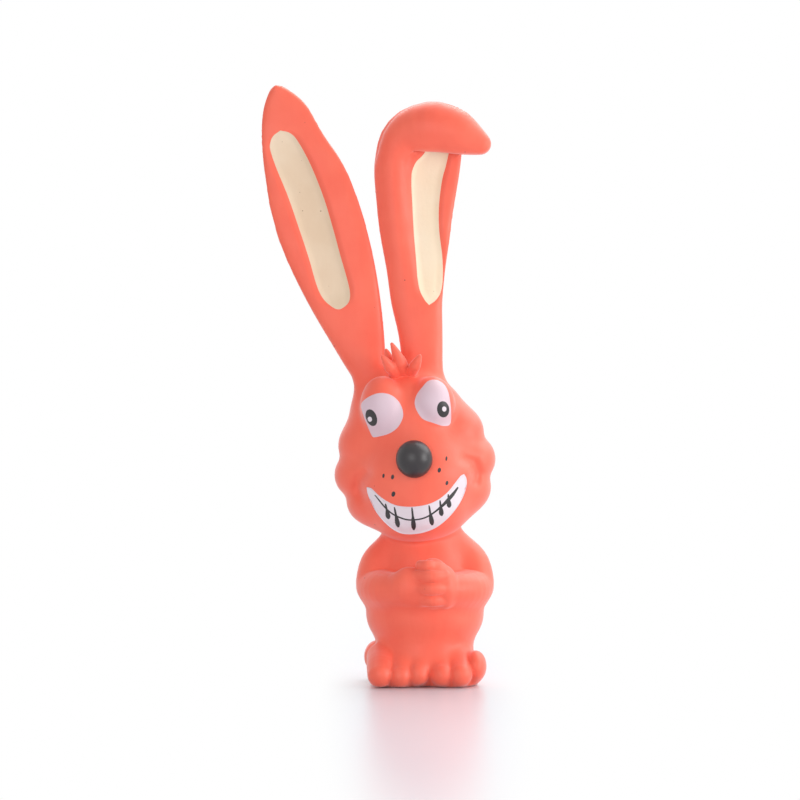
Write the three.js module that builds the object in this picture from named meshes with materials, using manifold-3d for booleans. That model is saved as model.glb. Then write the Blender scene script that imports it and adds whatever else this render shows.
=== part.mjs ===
// Squeaky rabbit dog toy: a hollow latex skin, its fibre filling and a reed squeaker in the base.
// Millimetres, +Z up. The toy faces -Y, and left and right are as seen from its front.
// The origin is on the floor in the middle of the base.

import * as THREE from "three";
import { mergeVertices } from "three/addons/utils/BufferGeometryUtils.js";
import Module from "manifold-3d";

// Skin and clearances
const skinThickness = 2.4;
const seatGap = 0.3;
const paintThickness = 0.6;

// Torso: half widths of the barrel at five heights, and its depth at the belly
const torsoBaseRadius = 19.2;
const torsoWaistRadius = 19.2;
const torsoWaistHeight = 14;
const torsoBellyRadius = 22;
const torsoBellyHeight = 27;
const torsoChestRadius = 20.8;
const torsoChestHeight = 40;
const torsoNeckRadius = 16.2;
const torsoHeight = 52;
const torsoDepth = 40;
const baseRimThickness = 3;

// Walls that a squeeze presses in
const frontWallWidth = 34;
const frontWallBottom = 15.5;
const frontWallTop = 49.6;
const backWallWidth = 28;
const backWallBottom = 23;
const backWallTop = 46;
const wallCornerRadius = 8;

// Arms, hands, feet and tail
const armRadius = 6.6;
const shoulderRadius = 6;
const wristRadius = 5.6;
const shoulderSpread = 14.6;
const shoulderHeight = 44.8;
const armRootSpread = 8;
const elbowSpread = 19.7;
const elbowHeight = 38;
const forearmHeight = 35.5;
const handHeight = 40;
const handWidth = 12;
const handThickness = 10;
const handLength = 14;
const handSpread = 3.2;
const handStep = 2;
const fingerRadius = 2.2;
const fingerCount = 4;
const fingerShare = 0.8;
const footWidth = 23;
const footLength = 34;
const footHeight = 11;
const footSpread = 11.6;
const toeCount = 3;
const toeWidth = 8.6;
const toeHeight = 12;
const toeRise = 3.8;
const toeLength = 17;
const toeReach = 26.5;
const outerToeSetBack = 3.2;
const tailDiameter = 13;
const tailHeight = 14.5;

// Neck and head, with the head's own middle set from the top of the torso
const neckRadius = 15.2;
const headRise = 33.9;
const headShift = -3.9;
const headForward = 2;
const headRoll = 8;
const skullWidth = 43;
const skullDepth = 41;
const skullHeight = 57;
const skullRise = 8;
const faceWidth = 51;
const faceDepth = 36;
const faceHeight = 42;
const faceDrop = 2.5;
const ruffWidth = 20;
const ruffDepth = 26;
const ruffHeight = 20;
const upperRuffSpread = 17.6;
const upperRuffRise = 8;
const middleRuffSpread = 20.6;
const middleRuffDrop = 2.5;
const lowerRuffSpread = 17.2;
const lowerRuffDrop = 13;
const muzzleWidth = 42;
const muzzleDepth = 30;
const muzzleHeight = 31;
const muzzleForward = 10.5;
const muzzleDrop = 6;
const jawWidth = 42;
const jawDepth = 44;
const jawHeight = 30;
const jawForward = 3;
const jawDrop = 15.5;

// Face
const eyeDiameter = 17.5;
const eyeSpread = 10.2;
const eyeBelowCrown = 15.8;
const eyeProud = 5.5;
const pupilWidth = 4.6;
const pupilHeight = 6.6;
const pupilSpread = 4;
const pupilDrop = 1.6;
const noseDiameter = 14.4;
const noseRise = 1.6;
const noseProud = 9.5;
const mouthWidth = 38.6;
const mouthCornerDrop = 8.2;
const mouthUpperDrop = 17.6;
const mouthLowerDrop = 27.8;
const tuftSpikeRadius = 2.8;
const tuftTipRadius = 0.4;
const tuftRootSize = 8;
const tuftLength = 16;
const tuftSideLength = 12.5;
const tuftLean = -7;
const tuftSideLean = 35;
const tuftForward = 9;

// Ears
const earRootLength = 13;
const earRootSink = 10;
const earRootThickness = 10;
const earTipThickness = 5;
const earTipFlat = 1.8;
const earCup = 2;
const earTilt = 4;
const earBack = 3;
const liningWidth = 12.6;
const straightEarLength = 116;
const straightEarRootWidth = 13.5;
const straightEarWidth = 33;
const straightEarWidest = 58;
const straightEarSpread = 12.8;
const straightEarBelowCrown = 0.1;
const straightEarLean = 9.4;
const straightLiningStart = 28;
const straightLiningEnd = 99;
const straightLiningShift = -2.3;
const foldedEarLength = 128;
const foldedEarRootWidth = 14.5;
const foldedEarWidth = 33;
const foldedEarWidest = 84;
const foldedEarSpread = 7.6;
const foldedEarAboveCrown = 1.3;
const foldedEarLean = -7.2;
const foldedLiningStart = 22;
const foldedLiningEnd = 72;
const foldedLiningShift = 4;
const creaseHeight = 84;
const creaseAngle = 30;

// Hood of the folded ear: a fat roll up its left rim, over the crease and down to the right
const rimRootSpread = 4.6;
const rimRootHeight = 18;
const rimRootRadius = 4.4;
const rimSpread = 9.6;
const rimDrop = 16;
const rimRadius = 6.6;
const hoodBendSpread = 7.6;
const hoodBendDrop = 0.6;
const hoodBendRadius = 7.2;
const hoodTopSpread = 4;
const hoodTopRise = 6;
const hoodTopRadius = 9.8;
const hoodFallSpread = 14.5;
const hoodFallRise = 4.5;
const hoodFallRadius = 8.2;
const hoodTipSpread = 24.2;
const hoodTipRise = 0.5;
const hoodTipRadius = 4.3;
const hoodTipProud = 8.5;
const hoodFlatness = 0.82;
const tipSplitSpread = 3;
const tipSplitProud = 5.6;
const tipSplitDrop = 4.5;
const tipRoom = 1.4;

// Squeaker in the base
const squeakerBack = 8.2;
const squeakerFlangeRadius = 6;
const squeakerFlangeThickness = 1.4;
const squeakerGrooveRadius = 4.2;
const squeakerCupRadius = 5.6;
const squeakerCupHeight = 11.5;
const squeakerBoreRadius = 3.3;
const squeakerVentRadius = 1.4;
const squeakerCapThickness = 1.6;
const squeakerFloorGap = 0.5;
const reedThickness = 0.35;
const reedWidth = 3.6;
const reedLength = 10;
const reedClampHeight = 3;
const reedRoom = 0.9;

// Curves of the ears' outlines
const straightEarFlare = 1.6;
const foldedEarFlare = 1;
const earTipFullness = 2.4;
const earTipRound = 0.72;

// Fineness of the round forms
const torsoSides = 20;
const torsoRings = 7;
const ballSides = 14;
const ballRings = 9;
const smallBallSides = 9;
const smallBallRings = 6;
const limbSides = 8;
const limbSteps = 9;
const hoodSides = 12;
const hoodSteps = 20;
const earSides = 10;
const earSteps = 11;
const tubeSides = 14;
const curveSegments = 5;
const weldDistance = 1e-4;
const reach = 120;

const coral = { color: 0xf5735a, roughness: 0.6, metalness: 0 };
const cream = { color: 0xf3dcc0, roughness: 0.65, metalness: 0 };
const offWhite = { color: 0xe4d8dc, roughness: 0.5, metalness: 0 };
const charcoal = { color: 0x2f2b2d, roughness: 0.45, metalness: 0 };
const fibre = { color: 0xf2f0ea, roughness: 0.95, metalness: 0 };
const clearPlastic = { color: 0xe8e6df, roughness: 0.35, metalness: 0 };
const reedFilm = { color: 0xc9b98a, roughness: 0.3, metalness: 0 };

const wasm = await Module();
wasm.setup();

const radians = THREE.MathUtils.degToRad;
const lerp = THREE.MathUtils.lerp;
const vector = (x, y, z) => new THREE.Vector3(x, y, z);

// A closed three.js geometry as a solid for joining and cutting
function solidOf(geometry) {
  const bare = geometry.clone();
  bare.deleteAttribute("normal");
  bare.deleteAttribute("uv");
  const welded = mergeVertices(bare, weldDistance);
  const corners = welded.index.array;
  const triangles = [];
  for (let i = 0; i < corners.length; i += 3) {
    const [a, b, c] = [corners[i], corners[i + 1], corners[i + 2]];
    if (a !== b && b !== c && c !== a) triangles.push(a, b, c);
  }
  const vertProperties = new Float32Array(welded.attributes.position.array);
  const triVerts = new Uint32Array(triangles);
  return new wasm.Manifold(new wasm.Mesh({ numProp: 3, vertProperties, triVerts }));
}

function geometryOf(solid) {
  const mesh = solid.getMesh();
  const geometry = new THREE.BufferGeometry();
  geometry.setAttribute("position", new THREE.BufferAttribute(mesh.vertProperties, 3));
  geometry.setIndex(new THREE.BufferAttribute(mesh.triVerts, 1));
  geometry.computeVertexNormals();
  return geometry;
}

const join = (first, ...others) =>
  geometryOf(others.reduce((whole, other) => whole.add(solidOf(other)), solidOf(first)));
const cut = (body, ...tools) =>
  geometryOf(tools.reduce((whole, tool) => whole.subtract(solidOf(tool)), solidOf(body)));
const common = (body, tool) => geometryOf(solidOf(body).intersect(solidOf(tool)));
const moved = (geometry, matrix) => geometry.clone().applyMatrix4(matrix);

function ellipsoid(middle, width, depth, height, grow = 0, sides = ballSides, rings = ballRings) {
  const ball = new THREE.SphereGeometry(1, sides, rings);
  ball.rotateX(Math.PI / 2);
  ball.scale(width / 2 + grow, depth / 2 + grow, height / 2 + grow);
  return ball.translate(middle.x, middle.y, middle.z);
}

const smallEllipsoid = (middle, width, depth, height, grow = 0) =>
  ellipsoid(middle, width, depth, height, grow, smallBallSides, smallBallRings);

// Front of an ellipsoid, as a Y value, over a point of the face
function frontOf(middle, width, depth, height, x, z) {
  const across = (x - middle.x) / (width / 2);
  const up = (z - middle.z) / (height / 2);
  return middle.y - (depth / 2) * Math.sqrt(Math.max(0, 1 - across * across - up * up));
}

// A round piece about the Z axis from an outline of [radius, height] points
function turned(outline, sides = tubeSides) {
  const form = new THREE.LatheGeometry(outline.map(([r, z]) => new THREE.Vector2(r, z)), sides);
  return form.rotateX(Math.PI / 2);
}

const rod = (radius, bottom, top) => turned([[0, bottom], [radius, bottom], [radius, top], [0, top]]);

// A closed skin through rings of equal point counts, each ring running anticlockwise seen from its end
function loft(rings) {
  const sides = rings[0].length;
  const points = rings.flat();
  const first = points.length;
  const middleOf = (ring) => ring.reduce((sum, p) => sum.add(p), vector(0, 0, 0)).divideScalar(sides);
  points.push(middleOf(rings[0]), middleOf(rings[rings.length - 1]));
  const index = [];
  for (let j = 0; j < sides; j++) {
    const next = (j + 1) % sides;
    for (let i = 0; i + 1 < rings.length; i++) {
      const [a, b] = [i * sides + j, i * sides + next];
      index.push(a, b, b + sides, a, b + sides, a + sides);
    }
    const last = (rings.length - 1) * sides;
    index.push(first, next, j, first + 1, last + j, last + next);
  }
  const form = new THREE.BufferGeometry().setFromPoints(points);
  form.setIndex(index);
  return form;
}

// A limb of changing radius along a smooth curve
function limb(points, radii, sides = limbSides, steps = limbSteps) {
  const spine = new THREE.CatmullRomCurve3(points);
  const frames = spine.computeFrenetFrames(steps, false);
  const rings = [];
  for (let i = 0; i <= steps; i++) {
    const t = i / steps;
    const place = Math.min(spine.getUtoTmapping(t) * (radii.length - 1), radii.length - 1 - 1e-6);
    const low = Math.floor(place);
    const radius = lerp(radii[low], radii[low + 1], place - low);
    const ring = [];
    for (let j = 0; j < sides; j++) {
      const angle = (2 * Math.PI * j) / sides;
      ring.push(
        spine.getPointAt(t)
          .addScaledVector(frames.normals[i], radius * Math.cos(angle))
          .addScaledVector(frames.binormals[i], radius * Math.sin(angle)),
      );
    }
    rings.push(ring);
  }
  return loft(rings);
}

// A bar along Y with a rounded upright outline, from one depth to another
function roundedBar(width, bottom, top, corner, fromY, toY, shift = 0) {
  const half = width / 2;
  const round = Math.min(corner, half - seatGap, (top - bottom) / 2 - seatGap);
  const outline = new THREE.Shape();
  outline.moveTo(-half, bottom + round);
  outline.lineTo(-half, top - round);
  outline.absarc(-half + round, top - round, round, Math.PI, Math.PI / 2, true);
  outline.absarc(half - round, top - round, round, Math.PI / 2, 0, true);
  outline.absarc(half - round, bottom + round, round, 0, -Math.PI / 2, true);
  outline.absarc(-half + round, bottom + round, round, -Math.PI / 2, -Math.PI, true);
  return upright(outline, fromY, toY).translate(shift, 0, 0);
}

// An outline drawn in X and Z, drawn out along Y
function upright(outline, fromY, toY) {
  const bar = new THREE.ExtrudeGeometry(outline, { depth: toY - fromY, bevelEnabled: false, curveSegments });
  bar.rotateX(Math.PI / 2);
  return bar.translate(0, toY, 0);
}

const below = (height) =>
  new THREE.BoxGeometry(2 * reach, 2 * reach, reach).translate(0, 0, height - reach / 2);

// Torso barrel
const torsoSide = new THREE.SplineCurve([
  new THREE.Vector2(torsoBaseRadius, 0),
  new THREE.Vector2(torsoWaistRadius, torsoWaistHeight),
  new THREE.Vector2(torsoBellyRadius, torsoBellyHeight),
  new THREE.Vector2(torsoChestRadius, torsoChestHeight),
  new THREE.Vector2(torsoNeckRadius, torsoHeight),
]).getPoints(80);
const torsoDepthShare = torsoDepth / (2 * torsoBellyRadius);

function torsoRadiusAt(height) {
  const above = torsoSide.findIndex((point) => point.y >= height);
  if (above === 0) return torsoSide[0].x;
  if (above < 0) return torsoSide[torsoSide.length - 1].x;
  const [low, high] = [torsoSide[above - 1], torsoSide[above]];
  return lerp(low.x, high.x, (height - low.y) / (high.y - low.y));
}

function torsoForm(grow, bottom, top) {
  const outline = [[0, bottom]];
  for (let i = 0; i <= torsoRings; i++) {
    const height = lerp(bottom, top, i / torsoRings);
    outline.push([torsoRadiusAt(height) + grow, height]);
  }
  outline.push([0, top]);
  return turned(outline, torsoSides).scale(1, torsoDepthShare, 1);
}

// Squeaker heights, from the recess in the sole upwards
const recessDepth = squeakerFloorGap + squeakerFlangeThickness + seatGap;
const baseThickness = recessDepth + baseRimThickness;
const flangeTop = squeakerFloorGap + squeakerFlangeThickness;
const cupBottom = baseThickness + seatGap;
const cupTop = cupBottom + squeakerCupHeight;
const capTop = cupTop + seatGap + squeakerCapThickness;
const atSqueaker = (geometry) => geometry.translate(0, squeakerBack, 0);

const torsoOuter = torsoForm(0, 0, torsoHeight);
const torsoTool = torsoForm(seatGap, -seatGap, torsoHeight + seatGap);
const torsoCavity = torsoForm(-skinThickness, baseThickness, torsoHeight + seatGap);
const torsoShell = cut(torsoOuter, torsoCavity);
const wallBar = (width, bottom, top, fromY, toY, clear) =>
  roundedBar(width - 2 * clear, bottom + clear, top - clear, wallCornerRadius, fromY, toY);
const frontBar = (clear) => wallBar(frontWallWidth, frontWallBottom, frontWallTop, -reach, 0, clear);
const backBar = (clear) => wallBar(backWallWidth, backWallBottom, backWallTop, 0, reach, clear);
const squeakerHole = atSqueaker(rod(squeakerGrooveRadius + seatGap, -seatGap, baseThickness + seatGap));
const squeakerRecess = atSqueaker(rod(squeakerFlangeRadius + seatGap, -seatGap, recessDepth));

const torsoSkin = cut(torsoShell, frontBar(0), backBar(0), squeakerHole, squeakerRecess);
const frontWall = common(torsoShell, frontBar(seatGap));
const backWall = common(torsoShell, backBar(seatGap));

// Clasped hands, the right one over the left, with finger ridges across the right one
const torsoFrontAt = (x, height) =>
  -torsoDepthShare * Math.sqrt(Math.max(0, torsoRadiusAt(height) ** 2 - x * x));
const handFront = torsoFrontAt(handSpread, handHeight) - handThickness / 4;
const handMiddle = (side) => vector(side * handSpread, handFront, handHeight + side * handStep / 2);
const palm = (side, grow) => smallEllipsoid(handMiddle(side), handWidth, handThickness, handLength, grow);

function fingers(grow) {
  const middle = handMiddle(1);
  const ridges = [];
  for (let i = 0; i < fingerCount; i++) {
    const height = middle.z + (i - (fingerCount - 1) / 2) * (handLength / (fingerCount + 1));
    const front = frontOf(middle, handWidth, handThickness, handLength, middle.x, height);
    const ridge = vector(middle.x, front, height);
    ridges.push(smallEllipsoid(ridge, handWidth * fingerShare, 2 * fingerRadius, 2 * fingerRadius, grow));
  }
  return ridges;
}

const rightHandForm = (grow) => join(palm(1, grow), ...fingers(grow));
const rightHand = cut(rightHandForm(0), torsoTool);
const leftHand = cut(palm(-1, 0), torsoTool, rightHandForm(seatGap));

// Arms from shoulder to wrist, parted from the forearm where the front wall starts
function armForm(side) {
  const elbowFront = torsoFrontAt(frontWallWidth / 2, forearmHeight);
  const points = [
    vector(side * armRootSpread, 0, elbowHeight),
    vector(side * shoulderSpread, 0, shoulderHeight),
    vector(side * elbowSpread, elbowFront / 3, elbowHeight),
    vector((side * frontWallWidth) / 2, elbowFront, forearmHeight),
    vector(side * handSpread * 2, torsoFrontAt(0, forearmHeight), handHeight),
  ];
  return limb(points, [shoulderRadius, shoulderRadius, armRadius, armRadius, wristRadius]);
}

const upperArm = (side) => cut(armForm(side), torsoTool, frontBar(0));
const forearm = (side) =>
  cut(common(armForm(side), frontBar(seatGap)), torsoTool, palm(-1, seatGap), rightHandForm(seatGap));

// Feet, each a low mound with rounded toes, flat underneath
function foot(side) {
  const mound = ellipsoid(vector(side * footSpread, -toeReach + footLength / 2 + toeLength / 3, 0),
    footWidth, footLength, 2 * footHeight);
  const toes = [];
  for (let i = 0; i < toeCount; i++) {
    const outward = (i - (toeCount - 1) / 2) * (footWidth - toeWidth) / (toeCount - 1);
    const back = i + 1 < toeCount ? 0 : outerToeSetBack;
    const middle = vector(side * (footSpread + outward), -toeReach + toeLength / 2 + back, toeRise);
    toes.push(smallEllipsoid(middle, toeWidth, toeLength, 2 * (toeHeight - toeRise)));
  }
  return cut(join(mound, ...toes), below(0), torsoTool, footDivider(-side));
}

// Keeps each foot on its own side of the middle
const footDivider = (side) =>
  new THREE.BoxGeometry(reach, 2 * reach, 2 * reach).translate(side * (reach / 2 - seatGap), 0, 0);

const tailMiddle = vector(0, torsoDepthShare * torsoRadiusAt(tailHeight), tailHeight);
const tail = cut(ellipsoid(tailMiddle, tailDiameter, tailDiameter, tailDiameter), torsoTool);

// Head in its own frame: skull, face with three ruffs of fur a side, muzzle and jaw
const headMiddle = vector(headShift, -headForward, torsoHeight + headRise);
const headMatrix = new THREE.Matrix4().makeRotationY(-radians(headRoll)).setPosition(headMiddle);
const skullMiddle = vector(0, headForward, skullRise);
const muzzleMiddle = vector(0, -muzzleForward, -muzzleDrop);

const crown = skullRise + skullHeight / 2;
const ruffMiddles = [-1, 1].flatMap((side) => [
  vector(side * upperRuffSpread, 0, upperRuffRise),
  vector(side * middleRuffSpread, 0, -middleRuffDrop),
  vector(side * lowerRuffSpread, 0, -lowerRuffDrop),
]);
const ruff = (middle, grow) => smallEllipsoid(middle, ruffWidth, ruffDepth, ruffHeight, grow);
const headCore = (grow, ball) => join(
  ball(skullMiddle, skullWidth, skullDepth, skullHeight, grow),
  ball(vector(0, 0, -faceDrop), faceWidth, faceDepth, faceHeight, grow),
  ball(muzzleMiddle, muzzleWidth, muzzleDepth, muzzleHeight, grow),
  ball(vector(0, -jawForward, -jawDrop), jawWidth, jawDepth, jawHeight, grow),
);
const headForm = (grow) =>
  join(headCore(grow, ellipsoid), ...ruffMiddles.map((middle) => ruff(middle, grow)));
const headOuter = headForm(0);
const headTool = headForm(seatGap);
const headInverse = headMatrix.clone().invert();
const neckBore = neckRadius - skinThickness - seatGap;
const neckHole = moved(rod(neckBore, 0, headMiddle.z), headInverse);
const headSkin = cut(headOuter, headCore(-skinThickness, smallEllipsoid), neckHole);
const headFill = headCore(-skinThickness - seatGap, smallEllipsoid);

// Neck tube between the torso's top and the head's underside
const neckBottom = torsoHeight + seatGap;
const neckTop = headMiddle.z - jawDrop;
const neckInner = neckRadius - skinThickness;
const neckTube = turned([
  [neckInner, neckBottom],
  [neckRadius, neckBottom],
  [neckRadius, neckTop],
  [neckInner, neckTop],
  [neckInner, neckBottom],
]);
const neck = cut(neckTube, moved(headTool, headMatrix));

// Eyes, pupils and nose
const eyeRise = crown - eyeBelowCrown;
const eyeSeat = frontOf(skullMiddle, skullWidth, skullDepth, skullHeight, eyeSpread, eyeRise);
const eyeMiddle = (side) => vector(side * eyeSpread, eyeSeat - eyeProud + eyeDiameter / 2, eyeRise);
const eyeBall = (side, grow) => ellipsoid(eyeMiddle(side), eyeDiameter, eyeDiameter, eyeDiameter, grow);
const otherEye = (side) => (side > 0 ? [] : [eyeBall(1, seatGap)]);
const eye = (side) => cut(eyeBall(side, 0), headTool, ...otherEye(side));

function pupil(side) {
  const middle = eyeMiddle(side);
  const outline = new THREE.Shape();
  outline.absellipse(middle.x + side * pupilSpread, middle.z - pupilDrop, pupilWidth / 2, pupilHeight / 2,
    0, 2 * Math.PI, false);
  const film = cut(eyeBall(side, seatGap + paintThickness), eyeBall(side, seatGap));
  return cut(common(film, upright(outline, middle.y - reach, middle.y)), headTool);
}

const noseSeat = frontOf(muzzleMiddle, muzzleWidth, muzzleDepth, muzzleHeight, 0, noseRise);
const noseMiddle = vector(0, noseSeat - noseProud + noseDiameter / 2, noseRise);
const nose = cut(ellipsoid(noseMiddle, noseDiameter, noseDiameter, noseDiameter), headTool);

// Grin: a crescent between two arcs that meet at the corners of the mouth
function grinOutline() {
  const half = mouthWidth / 2;
  const arc = (midDrop) => {
    const sag = midDrop - mouthCornerDrop;
    const radius = (half * half + sag * sag) / (2 * sag);
    const middle = radius - midDrop;
    const corner = Math.atan2(-mouthCornerDrop - middle, half);
    return { radius, middle, corner };
  };
  const lower = arc(mouthLowerDrop);
  const upper = arc(mouthUpperDrop);
  const outline = new THREE.Shape();
  outline.absarc(0, lower.middle, lower.radius, -Math.PI - lower.corner, lower.corner, false);
  outline.absarc(0, upper.middle, upper.radius, upper.corner, -Math.PI - upper.corner, true);
  return outline;
}

const teethFilm = cut(headForm(seatGap + paintThickness), headTool);
const teeth = common(teethFilm, upright(grinOutline(), -reach, -jawForward));

// Hair tuft: three spikes from one root on the forehead
function hairTuft() {
  const share = (tuftForward + headForward) / (skullDepth / 2);
  const top = skullMiddle.z + (skullHeight / 2) * Math.sqrt(Math.max(0, 1 - share * share));
  const root = vector(0, -tuftForward, top - tuftSpikeRadius / 2);
  const spike = (lean, length) => {
    const turn = radians(lean);
    const tip = vector(Math.sin(turn) * length, -tuftSpikeRadius / 2, Math.cos(turn) * length);
    const points = [root.clone(), root.clone().addScaledVector(tip, 0.5), root.clone().add(tip)];
    return limb(points, [tuftSpikeRadius, (tuftSpikeRadius + tuftTipRadius) / 2, tuftTipRadius]);
  };
  const mound = smallEllipsoid(root, tuftRootSize, tuftRootSize, tuftRootSize);
  const left = spike(-tuftSideLean, tuftSideLength);
  const right = spike(tuftSideLean, tuftSideLength);
  return cut(join(mound, left, spike(tuftLean, tuftLength), right), headTool);
}

// Ears, each in a frame of its own with the root at its origin, +Z along the ear and the front at -Y
const straight = {
  length: straightEarLength, root: straightEarRootWidth, width: straightEarWidth,
  widest: straightEarWidest, flare: straightEarFlare,
};
const folded = {
  length: foldedEarLength, root: foldedEarRootWidth, width: foldedEarWidth,
  widest: foldedEarWidest, flare: foldedEarFlare,
};

function earHalfWidth(ear, along) {
  if (along < ear.widest) {
    const rise = Math.max(0, along) / ear.widest;
    return lerp(ear.root, ear.width, 1 - (1 - rise) ** ear.flare) / 2;
  }
  const fall = Math.min(1, (along - ear.widest) / (ear.length - ear.widest));
  return (ear.width / 2) * (1 - fall ** earTipFullness) ** earTipRound;
}

const earHalfThickness = (ear, along) =>
  lerp(earRootThickness, earTipThickness, Math.max(0, along) / ear.length) / 2;

function earForm(ear, from, to, grow = 0) {
  const rings = [];
  for (let i = 0; i <= earSteps; i++) {
    const along = lerp(from, to, i / earSteps);
    const wide = Math.max(earHalfWidth(ear, along) + grow, seatGap);
    const thick = Math.max(earHalfThickness(ear, along) + grow, seatGap);
    const cup = (earCup * wide) / ear.width;
    const ring = [];
    for (let j = 0; j < earSides; j++) {
      const angle = (2 * Math.PI * j) / earSides;
      const across = Math.cos(angle);
      ring.push(vector(wide * across, thick * Math.sin(angle) - 2 * cup * across * across, along));
    }
    rings.push(ring);
  }
  return loft(rings);
}

const earMatrix = (spread, rise, lean) => new THREE.Matrix4()
  .makeRotationFromEuler(new THREE.Euler(-radians(earTilt), -radians(lean), 0, "YXZ"))
  .setPosition(spread, earBack, rise);
const straightMatrix = earMatrix(-straightEarSpread, crown - straightEarBelowCrown, straightEarLean);
const foldedMatrix = earMatrix(foldedEarSpread, crown + foldedEarAboveCrown, foldedEarLean);

const earRoot = (ear, matrix) =>
  cut(earForm(ear, -earRootSink, earRootLength), moved(headTool, matrix.clone().invert()));
const earEnd = (ear) => ear.length - earTipFlat;
const bladeStart = earRootLength + seatGap;

// A painted field let into the front of an ear, and the pocket that it lies in
const liningBar = (start, end, shift, clear) =>
  roundedBar(liningWidth - 2 * clear, start + clear, end - clear, liningWidth / 2, -reach, -earCup, shift);
const liningPocket = (ear, start, end, shift) =>
  cut(liningBar(start, end, shift, 0), earForm(ear, 0, ear.length, -paintThickness - seatGap));
const lining = (ear, start, end, shift) => common(
  cut(earForm(ear, 0, earEnd(ear)), earForm(ear, 0, ear.length, -paintThickness)),
  liningBar(start, end, shift, seatGap),
);

const straightEar = cut(
  earForm(straight, bladeStart, earEnd(straight)),
  liningPocket(straight, straightLiningStart, straightLiningEnd, straightLiningShift),
);
const straightLining = lining(straight, straightLiningStart, straightLiningEnd, straightLiningShift);

// The folded ear's roll, flatter from front to back than across, with its spots as [across, height, radius]
const hoodSpots = [
  [-rimRootSpread, rimRootHeight, rimRootRadius],
  [-rimSpread, creaseHeight - rimDrop, rimRadius],
  [-hoodBendSpread, creaseHeight - hoodBendDrop, hoodBendRadius],
  [hoodTopSpread, creaseHeight + hoodTopRise, hoodTopRadius],
  [hoodFallSpread, creaseHeight + hoodFallRise, hoodFallRadius],
  [hoodTipSpread, creaseHeight + hoodTipRise, hoodTipRadius],
];
const hoodPoints = hoodSpots.map(([across, height], i) =>
  vector(across, (-hoodTipProud * i) / (hoodSpots.length - 1) / hoodFlatness, height));
const hoodTipEnd = hoodPoints[hoodPoints.length - 1];
const hoodRoll = join(
  limb(hoodPoints, hoodSpots.map(([, , radius]) => radius), hoodSides, hoodSteps),
  smallEllipsoid(hoodTipEnd, 2 * hoodTipRadius, 2 * hoodTipRadius, 2 * hoodTipRadius),
).scale(1, hoodFlatness, 1);

// Right of the rim, above the slanting crease, and the free tip in front of it
const pastRim = new THREE.BoxGeometry(reach, 2 * reach, 2 * reach)
  .translate(reach / 2 - tipSplitSpread, 0, creaseHeight);
const pastCrease = (clear) => new THREE.BoxGeometry(2 * reach, 2 * reach, reach)
  .translate(0, 0, reach / 2 - clear)
  .rotateY(-radians(creaseAngle))
  .translate(0, 0, creaseHeight);
const freeTip = (clear) => new THREE.BoxGeometry(reach, reach, reach).translate(
  reach / 2 - tipSplitSpread - clear,
  -reach / 2 - tipSplitProud + clear,
  reach / 2 + creaseHeight - tipSplitDrop - clear,
);
const foldedEar = cut(
  join(earForm(folded, bladeStart, earEnd(folded)), cut(hoodRoll, pastRim)),
  pastCrease(seatGap),
  freeTip(tipRoom),
  liningPocket(folded, foldedLiningStart, foldedLiningEnd, foldedLiningShift),
);
const foldedLining = lining(folded, foldedLiningStart, foldedLiningEnd, foldedLiningShift);
const foldedCrease = cut(common(hoodRoll, pastCrease(0)), freeTip(seatGap));
const foldedTip = common(hoodRoll, freeTip(0));

// Squeaker: a flanged cup that buttons into the base, its cap, and the reed between block and clamp
const squeakerBody = atSqueaker(turned([
  [squeakerVentRadius, squeakerFloorGap],
  [squeakerFlangeRadius, squeakerFloorGap],
  [squeakerFlangeRadius, flangeTop],
  [squeakerGrooveRadius, flangeTop],
  [squeakerGrooveRadius, cupBottom],
  [squeakerCupRadius, cupBottom],
  [squeakerCupRadius, cupTop],
  [squeakerBoreRadius, cupTop],
  [squeakerBoreRadius, flangeTop],
  [squeakerVentRadius, flangeTop],
  [squeakerVentRadius, squeakerFloorGap],
]));
const spigotRadius = squeakerBoreRadius - seatGap;
const spigotBottom = cupTop - squeakerCapThickness;
const squeakerCap = atSqueaker(turned([
  [squeakerVentRadius, spigotBottom],
  [spigotRadius, spigotBottom],
  [spigotRadius, cupTop + seatGap],
  [squeakerCupRadius, cupTop + seatGap],
  [squeakerCupRadius, capTop],
  [squeakerVentRadius, capTop],
  [squeakerVentRadius, spigotBottom],
]));
const reedBottom = flangeTop + seatGap;
const clampTop = reedBottom + reedClampHeight;
const reedFace = reedThickness / 2 + seatGap;
const boreFill = (top) => rod(squeakerBoreRadius - seatGap, reedBottom, top);
const behind = (front, bottom) => new THREE.BoxGeometry(reach, reach, reach)
  .translate(0, front + reach / 2, bottom + reach / 2);
const reedBlock = atSqueaker(cut(
  boreFill(spigotBottom - seatGap),
  behind(-reedFace, 0),
  behind(-reedFace - reedRoom, clampTop),
));
const reedClamp = atSqueaker(common(boreFill(clampTop), behind(reedFace, 0)));
const reed = atSqueaker(new THREE.BoxGeometry(reedWidth, reedThickness, reedLength)
  .translate(0, 0, reedBottom + reedLength / 2));

const torsoFill = cut(
  torsoForm(-skinThickness - seatGap, baseThickness + seatGap, torsoHeight),
  atSqueaker(rod(squeakerCupRadius + seatGap, 0, capTop + seatGap)),
);

// Scene graph: the body stands in the toy's frame, the head and each ear in frames of their own
const toy = new THREE.Group();
const headGroup = new THREE.Group();
const straightEarGroup = new THREE.Group();
const foldedEarGroup = new THREE.Group();
headGroup.applyMatrix4(headMatrix);
straightEarGroup.applyMatrix4(straightMatrix);
foldedEarGroup.applyMatrix4(foldedMatrix);
headGroup.add(straightEarGroup, foldedEarGroup);
toy.add(headGroup);

function addPiece(group, name, geometry, finish) {
  const piece = new THREE.Mesh(geometry, new THREE.MeshStandardMaterial(finish));
  piece.name = name;
  group.add(piece);
}

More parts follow.
